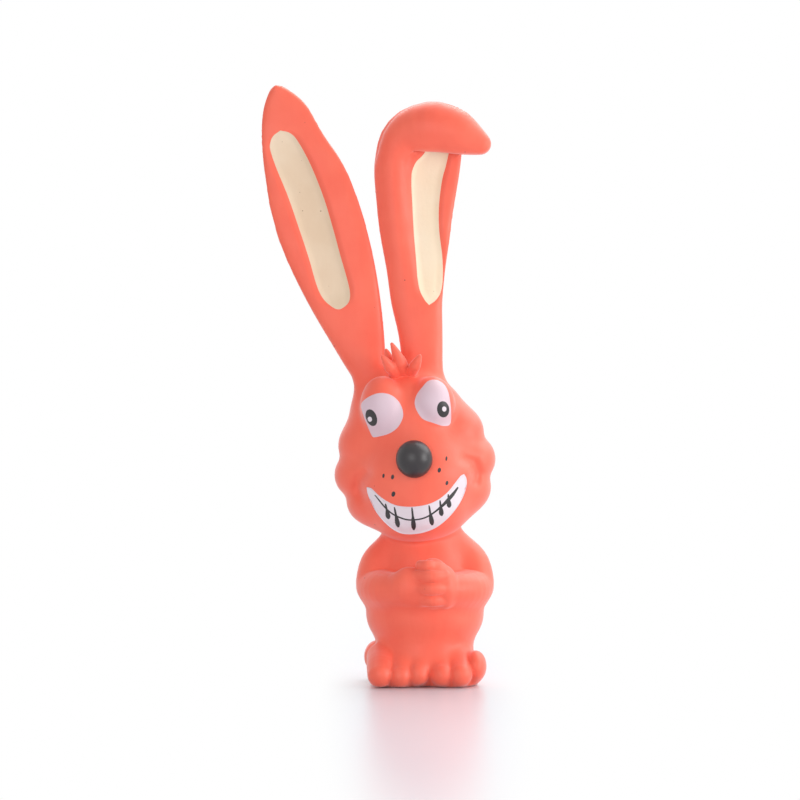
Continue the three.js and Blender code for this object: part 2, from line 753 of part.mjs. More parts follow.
addPiece(toy, "torso_skin", torsoSkin, coral);
addPiece(toy, "front_wall", frontWall, coral);
addPiece(toy, "back_wall", backWall, coral);
for (const [word, side] of [["left", -1], ["right", 1]]) {
  addPiece(toy, `${word}_upper_arm`, upperArm(side), coral);
  addPiece(toy, `${word}_forearm`, forearm(side), coral);
  addPiece(toy, `${word}_foot`, foot(side), coral);
  addPiece(headGroup, `${word}_eye`, eye(side), offWhite);
  addPiece(headGroup, `${word}_pupil`, pupil(side), charcoal);
}
addPiece(toy, "left_hand", leftHand, coral);
addPiece(toy, "right_hand", rightHand, coral);
addPiece(toy, "tail", tail, coral);
addPiece(toy, "neck", neck, coral);
addPiece(headGroup, "head_skin", headSkin, coral);
addPiece(headGroup, "nose", nose, charcoal);
addPiece(headGroup, "teeth", teeth, offWhite);
addPiece(headGroup, "hair_tuft", hairTuft(), coral);
addPiece(straightEarGroup, "straight_ear_root", earRoot(straight, straightMatrix), coral);
addPiece(straightEarGroup, "straight_ear", straightEar, coral);
addPiece(straightEarGroup, "straight_ear_lining", straightLining, cream);
addPiece(foldedEarGroup, "folded_ear_root", earRoot(folded, foldedMatrix), coral);
addPiece(foldedEarGroup, "folded_ear", foldedEar, coral);
addPiece(foldedEarGroup, "folded_ear_lining", foldedLining, cream);
addPiece(foldedEarGroup, "folded_ear_crease", foldedCrease, coral);
addPiece(foldedEarGroup, "folded_ear_tip", foldedTip, coral);
addPiece(toy, "torso_fill", torsoFill, fibre);
addPiece(headGroup, "head_fill", headFill, fibre);
addPiece(toy, "squeaker_body", squeakerBody, clearPlastic);
addPiece(toy, "squeaker_cap", squeakerCap, clearPlastic);
addPiece(toy, "reed_block", reedBlock, clearPlastic);
addPiece(toy, "reed_clamp", reedClamp, clearPlastic);
addPiece(toy, "reed", reed, reedFilm);

export default toy;
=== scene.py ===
import math

import bpy
import numpy as np
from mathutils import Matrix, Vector


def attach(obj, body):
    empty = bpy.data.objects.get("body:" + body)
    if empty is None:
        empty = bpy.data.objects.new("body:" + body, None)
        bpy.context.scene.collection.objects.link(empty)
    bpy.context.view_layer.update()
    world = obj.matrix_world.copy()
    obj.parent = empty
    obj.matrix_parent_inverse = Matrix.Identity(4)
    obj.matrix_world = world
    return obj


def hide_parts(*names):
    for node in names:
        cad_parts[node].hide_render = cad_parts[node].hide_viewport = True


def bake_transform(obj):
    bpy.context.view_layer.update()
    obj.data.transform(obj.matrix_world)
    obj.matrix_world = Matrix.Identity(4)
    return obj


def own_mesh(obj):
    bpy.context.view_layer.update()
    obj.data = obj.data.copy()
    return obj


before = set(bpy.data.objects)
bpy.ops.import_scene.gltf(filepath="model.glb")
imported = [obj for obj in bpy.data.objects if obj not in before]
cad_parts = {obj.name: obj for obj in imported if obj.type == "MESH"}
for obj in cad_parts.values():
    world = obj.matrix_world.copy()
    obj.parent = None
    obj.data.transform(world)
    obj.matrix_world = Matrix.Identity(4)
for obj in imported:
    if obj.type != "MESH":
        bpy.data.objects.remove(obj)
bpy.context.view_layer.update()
mm = 0.001  # the toy is worked out in millimetres and placed in metres


# Frames of the head and the ears, as the CAD has them: x to the right, y to the back, z along the piece

frameSettings = {
    "headMiddle": (-3.9, -2.0, 85.9),
    "headRoll": 8.0,
    "earTilt": 4.0,
    "straightRoot": (-12.8, 3.0, 36.4),
    "straightLean": 9.4,
    "foldedRoot": (7.6, 3.0, 37.8),
    "foldedLean": -7.2,
}


def turnY(degrees):
    c, s = math.cos(math.radians(degrees)), math.sin(math.radians(degrees))
    return np.array([[c, 0, s], [0, 1, 0], [-s, 0, c]])


def turnX(degrees):
    c, s = math.cos(math.radians(degrees)), math.sin(math.radians(degrees))
    return np.array([[1, 0, 0], [0, c, -s], [0, s, c]])


def earFrame(root, lean):
    turn = headTurn @ turnY(-lean) @ turnX(-frameSettings["earTilt"])
    return turn, headTurn @ np.array(root) + headOrigin


headTurn = turnY(-frameSettings["headRoll"])
headOrigin = np.array(frameSettings["headMiddle"])
toyFrame = (np.eye(3), np.zeros(3))
headFrame = (headTurn, headOrigin)
straightFrame = earFrame(frameSettings["straightRoot"], frameSettings["straightLean"])
foldedFrame = earFrame(frameSettings["foldedRoot"], frameSettings["foldedLean"])


def inFrame(p, place):
    return (p - place[1]) @ place[0]


def inToy(q, place):
    return np.asarray(q, float) @ place[0].T + place[1]


# Distance fields: below zero inside the latex, in millimetres

tiny = 1e-6  # keeps a division away from zero
steepest = 0.95  # the most that a limb may taper along its length


def egg(p, middle, radii):
    q = (p - np.array(middle)) / np.array(radii)
    k0 = np.sqrt((q * q).sum(1))
    k1 = np.sqrt(((q / np.array(radii)) ** 2).sum(1))
    return k0 * (k0 - 1) / np.maximum(k1, tiny)


def limb(p, spots):  # spots are x, y, z and radius
    best = None
    for a, b in zip(spots, spots[1:]):
        a, b = np.array(a, float), np.array(b, float)
        way = b[:3] - a[:3]
        length = np.linalg.norm(way)
        along = (p - a[:3]) @ way / length
        off = np.sqrt(np.maximum(((p - a[:3]) ** 2).sum(1) - along ** 2, 0))
        taper = math.asin(min(max((a[3] - b[3]) / length, -steepest), steepest))
        h = np.clip((along - off * math.tan(taper)) / length, 0, 1)
        d = np.hypot(along - h * length, off) - (a[3] + h * (b[3] - a[3]))
        best = d if best is None else np.minimum(best, d)
    return best


def flow(spots, steps):  # more spots on a smooth curve through the given ones
    s = np.array(spots, float)
    s = np.vstack([2 * s[0] - s[1], s, 2 * s[-1] - s[-2]])
    out = []
    for i in range(1, len(s) - 2):
        for j in range(steps):
            t = j / steps
            out.append(0.5 * (2 * s[i] + (s[i + 1] - s[i - 1]) * t
                              + (2 * s[i - 1] - 5 * s[i] + 4 * s[i + 1] - s[i + 2]) * t * t
                              + (3 * s[i] - s[i - 1] - 3 * s[i + 1] + s[i + 2]) * t ** 3))
    out.append(s[-2])
    return np.array(out)


def meld(a, b, soft):
    h = np.clip(0.5 + 0.5 * (b - a) / soft, 0, 1)
    return b + (a - b) * h - soft * h * (1 - h)


def carve(a, b, soft):
    return -meld(-a, b, soft)


def ease(v, low, high):
    t = np.clip((v - low) / (high - low), 0, 1)
    return t * t * (3 - 2 * t)


def pathDistance(x, z, path):
    p = np.stack([x, 0 * x, z], 1)
    return limb(p, [(a, 0, b, 0) for a, b in path])


seamWidth = 0.6  # of the fine ridge that the halves of the mould leave


def seamRidge(y, height):
    return height * np.exp(-((y / seamWidth) ** 2))


# Body: belly, clasped arms, feet with toes and a tail, on a flat sole

bodySettings = {
    "belly": ((0, -0.6, 27), (22.7, 20.6, 17.5)),
    "hips": ((0, -1.2, 8), (19.3, 19.8, 15)), "hipsSoft": 6,
    "chest": ((0, 1, 43), (17.5, 16.2, 15)), "chestSoft": 5,
    "neck": ((0, 1.3, 44, 15), (-1.5, 0, 66, 14)), "neckDepth": 0.78, "neckSoft": 5,
    "arm": ((9, 1.5, 54.5, 4.8), (14.3, 0.5, 50.2, 6.2), (18.1, -1, 45.2, 7.0), (18.9, -5, 37.6, 7.6),
            (16.2, -13, 37, 6.8), (9.5, -18.9, 37.3, 6.2), (4, -20.4, 36.8, 5.8), (0, -20.7, 36.6, 5.7)),
    "armSoft": 4.6,
    "leftHand": ((-6, -21, 40), (6.4, 5.2, 6.4)), "leftHandSoft": 3,
    "rightHand": ((3, -21.8, 40.2), (7.2, 6, 9.6)), "rightHandSoft": 1.0,
    "rightWrist": ((8, -21, 38.6), (4.6, 6, 8)), "wristSoft": 1.5,
    "fingers": ((-1.8, 3.6, 47.2, 2.1), (-2.8, 7.4, 43.2, 2.5), (-3.0, 7.8, 38.5, 2.6), (-2.2, 7, 33.9, 2.4)),
    "fingerSink": 0.7, "fingerCurl": (1.2, 0.8), "fingerTaper": 0.9, "fingerSoft": 0.45,
    "feet": (((-10.2, -8, 1.5), (10.6, 13, 10.5)), ((10.2, -8, 1.5), (10.2, 13, 10.5))), "footSoft": 4,
    "heels": (((-18.3, 5, 9.4), (5.2, 8.5, 6.2)), ((14.8, 5, 6), (5, 8.5, 6))), "heelSoft": 1.2,
    "toes": ((-17.2, 10.6, 5.2, -0.2), (-9.3, 9.4, 4.5, 0), (-2.4, 8.6, 4.1, 0.9),
             (6.4, 8.8, 4.3, 0.6), (13.6, 9.8, 4.6, 0.4)),  # place along x, top, radius and lift of the tip
    "toeRuns": (-10, -17.4, -21.8), "toeDrop": 3, "toeTaper": 0.94, "toeSoft": 1.0,
    "sideToe": ((19.5, -14.5, 7.6), (4.1, 7.5, 6)), "toesSoft": 3.6,
    "tail": ((0, 19.5, 14.5), (6.6, 6.6, 6.6)), "tailSoft": 2,
    "seamPlace": 1.6, "seamHeight": 0.16, "seamFade": (2, 6),
    "soleSoft": 1.2,
    "squeakerSeat": (8.2, 6.4, 2.2), "seatSoft": 0.4,  # place along y, radius and depth
}


def rightHandField(p):
    s = bodySettings
    middle, radii = s["rightHand"]
    d = meld(egg(p, middle, radii), egg(p, *s["rightWrist"]), s["wristSoft"])
    start, end = s["fingerCurl"]
    for x0, x1, z, radius in s["fingers"]:
        y = middle[1] - radii[1] * math.sqrt(1 - ((z - middle[2]) / radii[2]) ** 2) + s["fingerSink"]
        thin = s["fingerTaper"] * radius
        finger = ((x0, y + start * radius, z, thin), ((x0 + x1) / 2, y, z, radius),
                  (x1, y + end * radius, z, thin))
        d = meld(d, limb(p, flow(finger, steps=5)), s["fingerSoft"])
    return d


def bodyField(p):
    s = bodySettings
    d = meld(egg(p, *s["belly"]), egg(p, *s["hips"]), s["hipsSoft"])
    d = meld(d, egg(p, *s["chest"]), s["chestSoft"])
    d = meld(d, limb(p / np.array([1, s["neckDepth"], 1]), s["neck"]), s["neckSoft"])
    bothSides = np.column_stack([np.abs(p[:, 0]), p[:, 1:]])
    d = meld(d, limb(bothSides, flow(s["arm"], steps=4)), s["armSoft"])
    d = meld(d, egg(p, *s["leftHand"]), s["leftHandSoft"])
    d = meld(d, rightHandField(p), s["rightHandSoft"])
    for foot in s["feet"]:
        d = meld(d, egg(p, *foot), s["footSoft"])
    for heel in s["heels"]:
        d = meld(d, egg(p, *heel), s["heelSoft"])
    toes = egg(p, *s["sideToe"])
    back, bend, tip = s["toeRuns"]
    for x, top, radius, lift in s["toes"]:
        run = ((x, back, top, radius), (x, bend, top - s["toeDrop"], radius),
               (x, tip, radius + lift, radius * s["toeTaper"]))
        toes = meld(toes, limb(p, flow(run, steps=3)), s["toeSoft"])
    d = meld(d, toes, s["toesSoft"])
    d = meld(d, egg(p, *s["tail"]), s["tailSoft"])
    d = d - seamRidge(p[:, 1] - s["seamPlace"], s["seamHeight"]) * ease(p[:, 2], *s["seamFade"])
    d = -meld(-d, p[:, 2], s["soleSoft"])  # the flat sole
    back, radius, depth = s["squeakerSeat"]
    seat = np.maximum(np.hypot(p[:, 0], p[:, 1] - back) - radius, p[:, 2] - depth)
    return carve(d, seat, s["seatSoft"])


# Head: skull, face with scalloped ruffs, muzzle, jaw, eye domes and a tuft of hair

headSettings = {
    "skull": ((0, 2, 8), (20.6, 20.2, 28.3)),
    "face": ((0, 0, -3), (25, 18.5, 21)), "faceSoft": 6,
    "jaw": ((0, -3, -16), (21, 21.5, 15.5)), "jawSoft": 5,
    "temples": (((-14, 2, 18), (8.6, 11, 12)), ((12.8, 2, 16), (8.6, 11, 11))), "templeSoft": 4,
    "ruffs": (((17.4, 1, 8.2), (10, 11.5, 10.2)), ((20.4, 1, -2.6), (10, 11.5, 9.6)),
              ((17.2, 0, -13), (10, 12, 9.6))),
    "leftRuffOut": 1.1, "rightRuffOut": 0.5, "scallopSoft": 2.4, "ruffSoft": 5,
    "muzzle": ((0, -10.5, -6), (20.5, 15, 15)), "muzzleSoft": 5,
    "leftEye": ((-8.8, -9.2, 22.2), (9, 9, 12.2)),
    "rightEye": ((10, -9.2, 21.5), (8.4, 9, 10.2)), "eyeSoft": 2,
    "tuft": (((0.6, -4, 33.5, 2.2), (-0.2, -9.6, 38.5, 2.6), (-2.4, -11.5, 46.2, 0.7)),
             ((-1.8, -5, 33.5, 2.0), (-4.3, -10.8, 37.4, 2.3), (-6.6, -13, 41.9, 0.8)),
             ((3, -5, 33.5, 2.0), (5.2, -10.4, 36.6, 2.2), (7.5, -12.5, 40.1, 0.8)),
             ((-3.2, -6.5, 34, 2), (-4.4, -7, 41, 1.6), (-4.9, -7, 44, 0.6))),
    "tuftSoft": 0.8,
    "smileCrease": ((18.9, -1.2), (22.3, -3.2), (23.4, -6.8), (22.2, -10.6)),
    "smileDepth": 1.2, "smileWidth": 2.0, "frontSpan": (2, 9),
    "mouthDepth": 0.5, "mouthEdge": (-0.4, 1.2),
    "seamPlace": 3.0, "seamHeight": 0.14,
}


def headField(p):
    s = headSettings
    q = inFrame(p, headFrame)
    d = meld(egg(q, *s["skull"]), egg(q, *s["face"]), s["faceSoft"])
    d = meld(d, egg(q, *s["jaw"]), s["jawSoft"])
    for temple in s["temples"]:
        d = meld(d, egg(q, *temple), s["templeSoft"])
    outward = np.where(q[:, 0] < 0, -q[:, 0] - s["leftRuffOut"], q[:, 0] - s["rightRuffOut"])
    bothSides = np.column_stack([outward, q[:, 1:]])
    ruffs = egg(bothSides, *s["ruffs"][0])
    for ruff in s["ruffs"][1:]:
        ruffs = meld(ruffs, egg(bothSides, *ruff), s["scallopSoft"])
    d = meld(d, ruffs, s["ruffSoft"])
    d = meld(d, egg(q, *s["muzzle"]), s["muzzleSoft"])
    for eye in (s["leftEye"], s["rightEye"]):
        d = meld(d, egg(q, *eye), s["eyeSoft"])
    for spike in s["tuft"]:
        d = meld(d, limb(q, flow(spike, steps=2)), s["tuftSoft"])
    crease = pathDistance(np.abs(q[:, 0]), q[:, 2], s["smileCrease"])
    front = ease(-q[:, 1], *s["frontSpan"])
    d = d + s["smileDepth"] * front * np.exp(-((crease / s["smileWidth"]) ** 2))
    d = d + s["mouthDepth"] * front * ease(-mouthSide(q[:, 0], q[:, 2]), *s["mouthEdge"])
    return d - seamRidge(q[:, 1] - s["seamPlace"], s["seamHeight"])


mouthSettings = {
    "upperLip": ((-19.5, -6.5), (-17.8, -7.1), (-15.6, -9.7), (-12.7, -12.4), (-8.9, -14.6), (-3.5, -15.7),
                 (2.1, -15.7), (6.8, -14.5), (10.9, -12.2), (14, -9.4), (16.5, -7.1), (18, -6.6)),
    "lowerLip": ((-19.5, -6.5), (-19.6, -8.6), (-18.9, -12), (-17.1, -16.9), (-14, -21.6), (-10.4, -25.1),
                 (-6.8, -26.5), (-1.3, -26.7), (4.4, -25.4), (9.4, -22.5), (13.7, -18.7), (16.8, -14.7),
                 (18.4, -11.2), (18.7, -8.4), (18, -6.6)),
    "biteLine": ((-16.8, -9.7), (-12.3, -16.5), (-7.4, -19.9), (-3.3, -20.9), (1.8, -20.4), (7.6, -17.4),
                 (12.3, -13.8), (15, -11.1)),
    "lipPoints": 60, "filmGrid": (90, 26),
}


def curveAt(path, u):  # points at shares u of a smooth curve's length
    fine = flow([(x, z, 0) for x, z in path], steps=12)[:, :2]
    run = np.concatenate([[0], np.cumsum(np.linalg.norm(np.diff(fine, axis=0), axis=1))])
    return np.stack([np.interp(u * run[-1], run, fine[:, 0]), np.interp(u * run[-1], run, fine[:, 1])], 1)


def mouthSide(x, z):  # below zero between the lips
    shares = np.linspace(0, 1, mouthSettings["lipPoints"])
    upper = curveAt(mouthSettings["upperLip"], shares)
    lower = curveAt(mouthSettings["lowerLip"], shares)
    top = np.interp(x, upper[:, 0], upper[:, 1])
    first, last = np.argmin(lower[:, 0]), np.argmax(lower[:, 0])
    low = np.interp(x, lower[first:last, 0], lower[first:last, 1])
    return np.maximum.reduce([z - top, low - z, lower[first, 0] - x, x - lower[last, 0]])


# Ears: fleshy blades with a shallow dish for the lining, one of them folded over at its top

straightSettings = {  # bow and fullness are steps along z, left and right the edges of the lining
    "length": 116, "rootWidth": 13.5, "width": 33.4, "widest": 58, "flare": 1.6,
    "bow": ((0, 0), (15, 0), (58, -1.1), (80, -1), (86, -1.4), (91, -1.8), (98, -1.7), (106, -1.2),
            (112, -1.5), (116, -1.5)),
    "fullness": ((0, 0), (72, 0), (83, -0.7), (91, -1.2), (98, -0.7), (106, 0.3), (112, 0.2), (116, 0.2)),
    "left": ((-3.3, 25.8), (-5.2, 26.7), (-8.1, 31), (-9.2, 36.8), (-9, 48.8), (-9.2, 60.5), (-9.6, 73.5),
             (-10.6, 84.8), (-10.8, 92), (-10.1, 94.8), (-8.1, 97.2), (-4.8, 98.4)),
    "right": ((-3.3, 25.8), (-1, 26.4), (1.2, 28.2), (2.5, 33.1), (2.9, 45.9), (3.3, 56.6), (3.4, 68.8),
              (2.4, 82), (0.4, 92.4), (-1.6, 96.4), (-4.8, 98.4)),
    "filmGrid": (90, 18),
}
foldedSettings = {
    "length": 128, "rootWidth": 14.5, "width": 33, "widest": 84, "flare": 1,
    "bow": ((0, 0.6), (10, 0.1), (22, -1.3), (54, -1.4), (66, -0.7), (80, 0.2)),
    "fullness": ((0, 0.5), (10, 0), (35, 0), (48, 0.8), (72, 1), (84, 0.4)),
    "left": ((3.5, 21), (1.7, 23.2), (-0.2, 27.6), (-1.3, 36.5), (-2.3, 48), (-3, 59.6), (-3.2, 66),
             (-2.8, 70.5), (-1.8, 74), (-0.5, 76.4), (1.6, 78.4), (3, 80.4), (3.6, 84)),
    "right": ((3.5, 21), (6.2, 22.9), (8.2, 26.4), (9, 32.5), (8.8, 40.2), (7.8, 49.8), (7.9, 59.5),
              (9.2, 69), (10.8, 74.8), (13, 84)),
    "filmGrid": (80, 18),
    "bladeTop": 88, "bladeCorner": (-16.5, 77, -0.82, 0.57), "bladeSoft": 3,
    "hook": ((-4.4, -0.4, 16, 4), (-6.5, -0.8, 36, 5.6), (-8.2, -1.2, 48, 6.3), (-9.2, -1.5, 60, 6.8),
             (-9.9, -1.8, 71, 7), (-9.4, -2.6, 78.5, 6.9), (-7, -3.5, 84.4, 7.7), (-2, -4.4, 88.2, 8.9),
             (5, -5.4, 89.3, 9.9), (9, -5.9, 88.9, 9.7), (14, -6.7, 87.6, 8.9), (18, -7.4, 85.6, 7.2),
             (24, -8.5, 82.6, 4.2)),  # the rolled band and hood
    "hookFlatness": 0.82, "hookSoft": 2, "frontShare": (0.86, 0.97), "shareSpan": (-8, 4),
    "rimFlatness": 0.4, "rimBack": 2.2, "rimSoft": 1.2,
    "pivot": (0, -6.5, 84), "foldWay": (0.7, 0, -0.714), "foldSpan": (-3.0, 10.0),
    "slit": (-5.0, 0.55, -1.5, 76.0), "slitStart": 0.8, "slitSoft": 0.5,  # y, half width, left and lowest end
    "pocket": (16.0, 82.5),  # right and highest end of the hollow behind the hood's lower edge
}
earSettings = {
    "rootThickness": 10, "tipThickness": 5, "sink": 10, "cup": 2, "cupLimit": 2, "leastHalfWidth": 0.2,
    "tipFullness": 2.4, "tipRound": 0.72, "tipEnd": 0.9995, "tipCut": 0.2, "tipSoft": 1.5,
    "dish": 1.8, "dishEdge": 2.4, "dishRun": 7, "dishStart": 1, "dishFront": 1.4, "edgePoints": 50,
    "seamHeight": 0.16, "soften": (-3.2, -1.6, 0, 1.6, 3.2),
}


def along(path, z):  # a path's value at z, with its corners softened
    knots, values = zip(*path)
    shifts = earSettings["soften"]
    return sum(np.interp(z + shift, knots, values) for shift in shifts) / len(shifts)


def earHalfWidth(ear, z):
    s = earSettings
    rise = np.clip(z / ear["widest"], 0, 1)
    low = (ear["rootWidth"] + (ear["width"] - ear["rootWidth"]) * (1 - (1 - rise) ** ear["flare"])) / 2
    fall = np.clip((z - ear["widest"]) / (ear["length"] - ear["widest"]), 0, s["tipEnd"])
    return low * (1 - fall ** s["tipFullness"]) ** s["tipRound"] + along(ear["fullness"], z)


def liningEnds(ear):
    return ear["left"][0][1], ear["left"][-1][1]


def liningSide(ear, x, z):  # below zero inside the painted lining
    shares = np.linspace(0, 1, earSettings["edgePoints"])
    left, right = curveAt(ear["left"], shares), curveAt(ear["right"], shares)
    low, high = liningEnds(ear)
    x0 = np.interp(z, left[:, 1], left[:, 0])
    x1 = np.interp(z, right[:, 1], right[:, 0])
    return np.maximum(np.maximum(x0 - x, x - x1), np.maximum(low - z, z - high))


def earBlade(e, ear):
    s = earSettings
    x, y, z = e.T
    lining = liningSide(ear, x, z)
    x = x - along(ear["bow"], z)
    a = np.maximum(earHalfWidth(ear, z), s["leastHalfWidth"])
    b = (s["rootThickness"] + (s["tipThickness"] - s["rootThickness"]) * np.clip(z / ear["length"], 0, 1)) / 2
    y = y + s["cup"] * (a / (ear["width"] / 2)) * np.minimum((x / a) ** 2, s["cupLimit"])
    k0 = np.sqrt((x / a) ** 2 + (y / b) ** 2)
    k1 = np.sqrt((x / a ** 2) ** 2 + (y / b ** 2) ** 2)
    d = k0 * (k0 - 1) / np.maximum(k1, tiny)
    low, high = liningEnds(ear)
    ends = ease(z, low - s["dishStart"], low + s["dishRun"])
    ends = ends * ease(-z, -high - s["dishStart"], s["dishRun"] - high)
    dish = ease(-lining, -s["dishEdge"], s["dishEdge"]) * ease(-y, 0, s["dishFront"]) * ends
    d = d + s["dish"] * dish - seamRidge(y, s["seamHeight"])
    d = -meld(-d, ear["length"] - s["tipCut"] - z, s["tipSoft"])
    return np.maximum(d, -s["sink"] - z)


def straightEarField(p):
    return earBlade(inFrame(p, straightFrame), straightSettings)


def foldedBladeField(p):
    s = foldedSettings
    e = inFrame(p, foldedFrame)
    d = -meld(-earBlade(e, s), s["bladeTop"] - e[:, 2], s["bladeSoft"])
    x, z, acrossX, acrossZ = s["bladeCorner"]
    return -meld(-d, -(acrossX * (e[:, 0] - x) + acrossZ * (e[:, 2] - z)), s["bladeSoft"])


def foldSide(e):  # how far past the crease towards the folded tip
    s = foldedSettings
    return (e - np.array(s["pivot"])) @ np.array(s["foldWay"])


def foldedEarField(p):
    s = foldedSettings
    e = inFrame(p, foldedFrame)
    roll = flow(s["hook"], steps=2)
    front = roll.copy()
    band, hood = s["frontShare"]
    front[:, 3] *= band + (hood - band) * ease(roll[:, 0], *s["shareSpan"])
    front[:, 1] /= s["hookFlatness"]
    hook = limb(e / np.array([1, s["hookFlatness"], 1]), front)
    roll[:, 1] = (roll[:, 1] + s["rimBack"]) / s["rimFlatness"]
    rim = limb(e / np.array([1, s["rimFlatness"], 1]), roll)
    y, half, left, low = s["slit"]
    right, top = s["pocket"]
    pocket = np.maximum.reduce([y - half - e[:, 1], left - e[:, 0], e[:, 0] - right, e[:, 2] - top])
    roll = carve(meld(hook, rim, s["rimSoft"]), pocket, s["slitSoft"])
    d = meld(foldedBladeField(p), roll, s["hookSoft"])
    start = s["foldSpan"][0] + s["slitStart"]
    slit = np.maximum.reduce([np.abs(e[:, 1] - y) - half, start - foldSide(e), left - e[:, 0], low - e[:, 2]])
    return carve(d, slit, s["slitSoft"])


jointSettings = {
    "neckTop": 74, "chinLow": 44, "earLow": 104, "earHigh": 150, "neckSoft": 2, "earSoft": 5, "farOff": 40.0,
}


def only(field, p, near):  # a field worked out where it matters, and far off elsewhere
    d = np.full(len(p), jointSettings["farOff"])
    if near.any():
        d[near] = field(p[near])
    return d


def skinField(p):
    s = jointSettings
    body = only(bodyField, p, p[:, 2] < s["neckTop"])
    head = only(headField, p, (p[:, 2] > s["chinLow"]) & (p[:, 2] < s["earHigh"]))
    straight = only(straightEarField, p, p[:, 2] > s["earLow"])
    folded = only(foldedEarField, p, p[:, 2] > s["earLow"])
    return meld(body, meld(head, np.minimum(straight, folded), s["earSoft"]), s["neckSoft"])


# Skins: a net of points on a field's surface, as points, normals and triangles

netSettings = {
    "coarse": 4, "nearSteps": 1.6, "batch": 200000, "rounds": 2, "gap": 0.12, "leastSlope": 0.05,
    "cutGap": 1e-5,
}


def slope(field, p):
    gap = netSettings["gap"]
    ways = ((1, -1, -1), (-1, -1, 1), (-1, 1, -1), (1, 1, 1))
    g = np.zeros_like(p)
    for way in ways:
        g += np.array(way) * field(p + np.array(way) * gap)[:, None]
    return g / (len(ways) * gap)


def settle(field, p, limit):
    for _ in range(netSettings["rounds"]):
        g = slope(field, p)
        move = field(p) / np.maximum((g * g).sum(1), netSettings["leastSlope"])
        p = p - np.clip(move, -limit, limit)[:, None] * g
    g = slope(field, p)
    return p, g / np.maximum(np.linalg.norm(g, axis=1), tiny)[:, None]


def growSkin(field, place, low, high, step):
    coarse = netSettings["coarse"]
    size = [int(math.ceil((b - a) / step / coarse)) * coarse for a, b in zip(low, high)]
    marks = [a + step * np.arange(n) for a, n in zip(low, size)]
    rough = [m[::coarse] + step * (coarse - 1) / 2 for m in marks]
    blocks = np.stack(np.meshgrid(*rough, indexing="ij"), -1).reshape(-1, 3)
    value = field(inToy(blocks, place)).reshape([len(r) for r in rough])
    for axis in range(3):
        value = np.repeat(value, coarse, axis)
    spot = np.argwhere(np.abs(value) < step * coarse * netSettings["nearSteps"])
    q = np.stack([marks[i][spot[:, i]] for i in range(3)], 1)
    batches = np.array_split(q, max(1, len(q) // netSettings["batch"]))
    value[tuple(spot.T)] = np.concatenate([field(inToy(part, place)) for part in batches])

    inside = value < 0
    nets = np.zeros(np.array(value.shape) - 1, int)
    total = np.zeros(nets.shape + (3,))
    count = np.zeros(nets.shape)
    corner = [slice(0, -1), slice(1, None)]
    for axis in range(3):
        others = [i for i in range(3) if i != axis]
        for m in (0, 1):
            for n in (0, 1):
                a, b = [None] * 3, [None] * 3
                a[axis], b[axis] = corner[0], corner[1]
                a[others[0]] = b[others[0]] = corner[m]
                a[others[1]] = b[others[1]] = corner[n]
                va, vb = value[tuple(a)], value[tuple(b)]
                cross = (va < 0) != (vb < 0)
                share = np.where(cross, va / np.where(cross, va - vb, 1), 0)
                total[..., axis] += share
                total[..., others[0]] += m * cross
                total[..., others[1]] += n * cross
                count += cross
    used = count > 0
    nets[used] = np.arange(used.sum())
    cells = np.argwhere(used)
    q = (cells + total[used] / count[used][:, None]) * step + np.array(low)

    quads = []
    for axis in range(3):
        o1, o2 = [(1, 2), (2, 0), (0, 1)][axis]
        a, b = [slice(1, -1)] * 3, [slice(1, -1)] * 3
        a[axis], b[axis] = slice(0, -1), slice(1, None)
        start, stop = inside[tuple(a)], inside[tuple(b)]
        for flip in (False, True):
            edge = np.argwhere(stop & ~start if flip else start & ~stop)
            edge[:, o1] += 1
            edge[:, o2] += 1
            ring = []
            for da, db in ((-1, -1), (0, -1), (0, 0), (-1, 0)):
                cell = edge.copy()
                cell[:, o1] += da
                cell[:, o2] += db
                ring.append(nets[tuple(cell.T)])
            quads.append(np.stack(ring[::-1] if flip else ring, 1))
    quads = np.concatenate(quads)
    p, normal = settle(field, inToy(q, place), step)
    return p, normal, np.concatenate([quads[:, [0, 1, 2]], quads[:, [0, 2, 3]]])


def keepPart(skin, side):  # the part of a skin where side is below zero, cut cleanly along its edge
    p, normal, faces = skin
    gap = netSettings["cutGap"]
    side = np.where(np.abs(side) < gap, -gap, side)
    inner = side[faces] < 0
    count = inner.sum(1)
    out = [faces[count == 3]]
    edges, points, normals = {}, [], []

    def cutPoint(a, b):
        key = (min(a, b), max(a, b))
        if key not in edges:
            t = side[a] / (side[a] - side[b])
            edges[key] = len(p) + len(points)
            points.append(p[a] + t * (p[b] - p[a]))
            normals.append(normal[a] + t * (normal[b] - normal[a]))
        return edges[key]

    extra = []
    split = (count == 1) | (count == 2)
    for face, flags in zip(faces[split], inner[split]):
        lone = int(np.argmax(flags)) if flags.sum() == 1 else int(np.argmin(flags))
        a, b, c = face[lone], face[(lone + 1) % 3], face[(lone + 2) % 3]
        ab, ac = cutPoint(a, b), cutPoint(a, c)
        if flags.sum() == 1:
            extra.append((a, ab, ac))
        else:
            extra += [(ab, b, c), (ab, c, ac)]
    if extra:
        out.append(np.array(extra))
        p, normal = np.vstack([p, points]), np.vstack([normal, normals])
    faces = np.concatenate(out)
    used, faces = np.unique(faces, return_inverse=True)
    return p[used], normal[used], faces.reshape(-1, 3)


def layMesh(name, skin, material):
    p, normal, faces = skin
    mesh = bpy.data.meshes.new(name)
    mesh.from_pydata((p * mm).tolist(), [], faces.tolist())
    mesh.polygons.foreach_set("use_smooth", np.ones(len(faces), bool))
    mesh.materials.append(material)
    mesh.normals_split_custom_set_from_vertices((normal / np.linalg.norm(normal, axis=1)[:, None]).tolist())
    mesh.update()
    piece = bpy.data.objects.new(name, mesh)
    bpy.context.scene.collection.objects.link(piece)
    return piece


# Materials

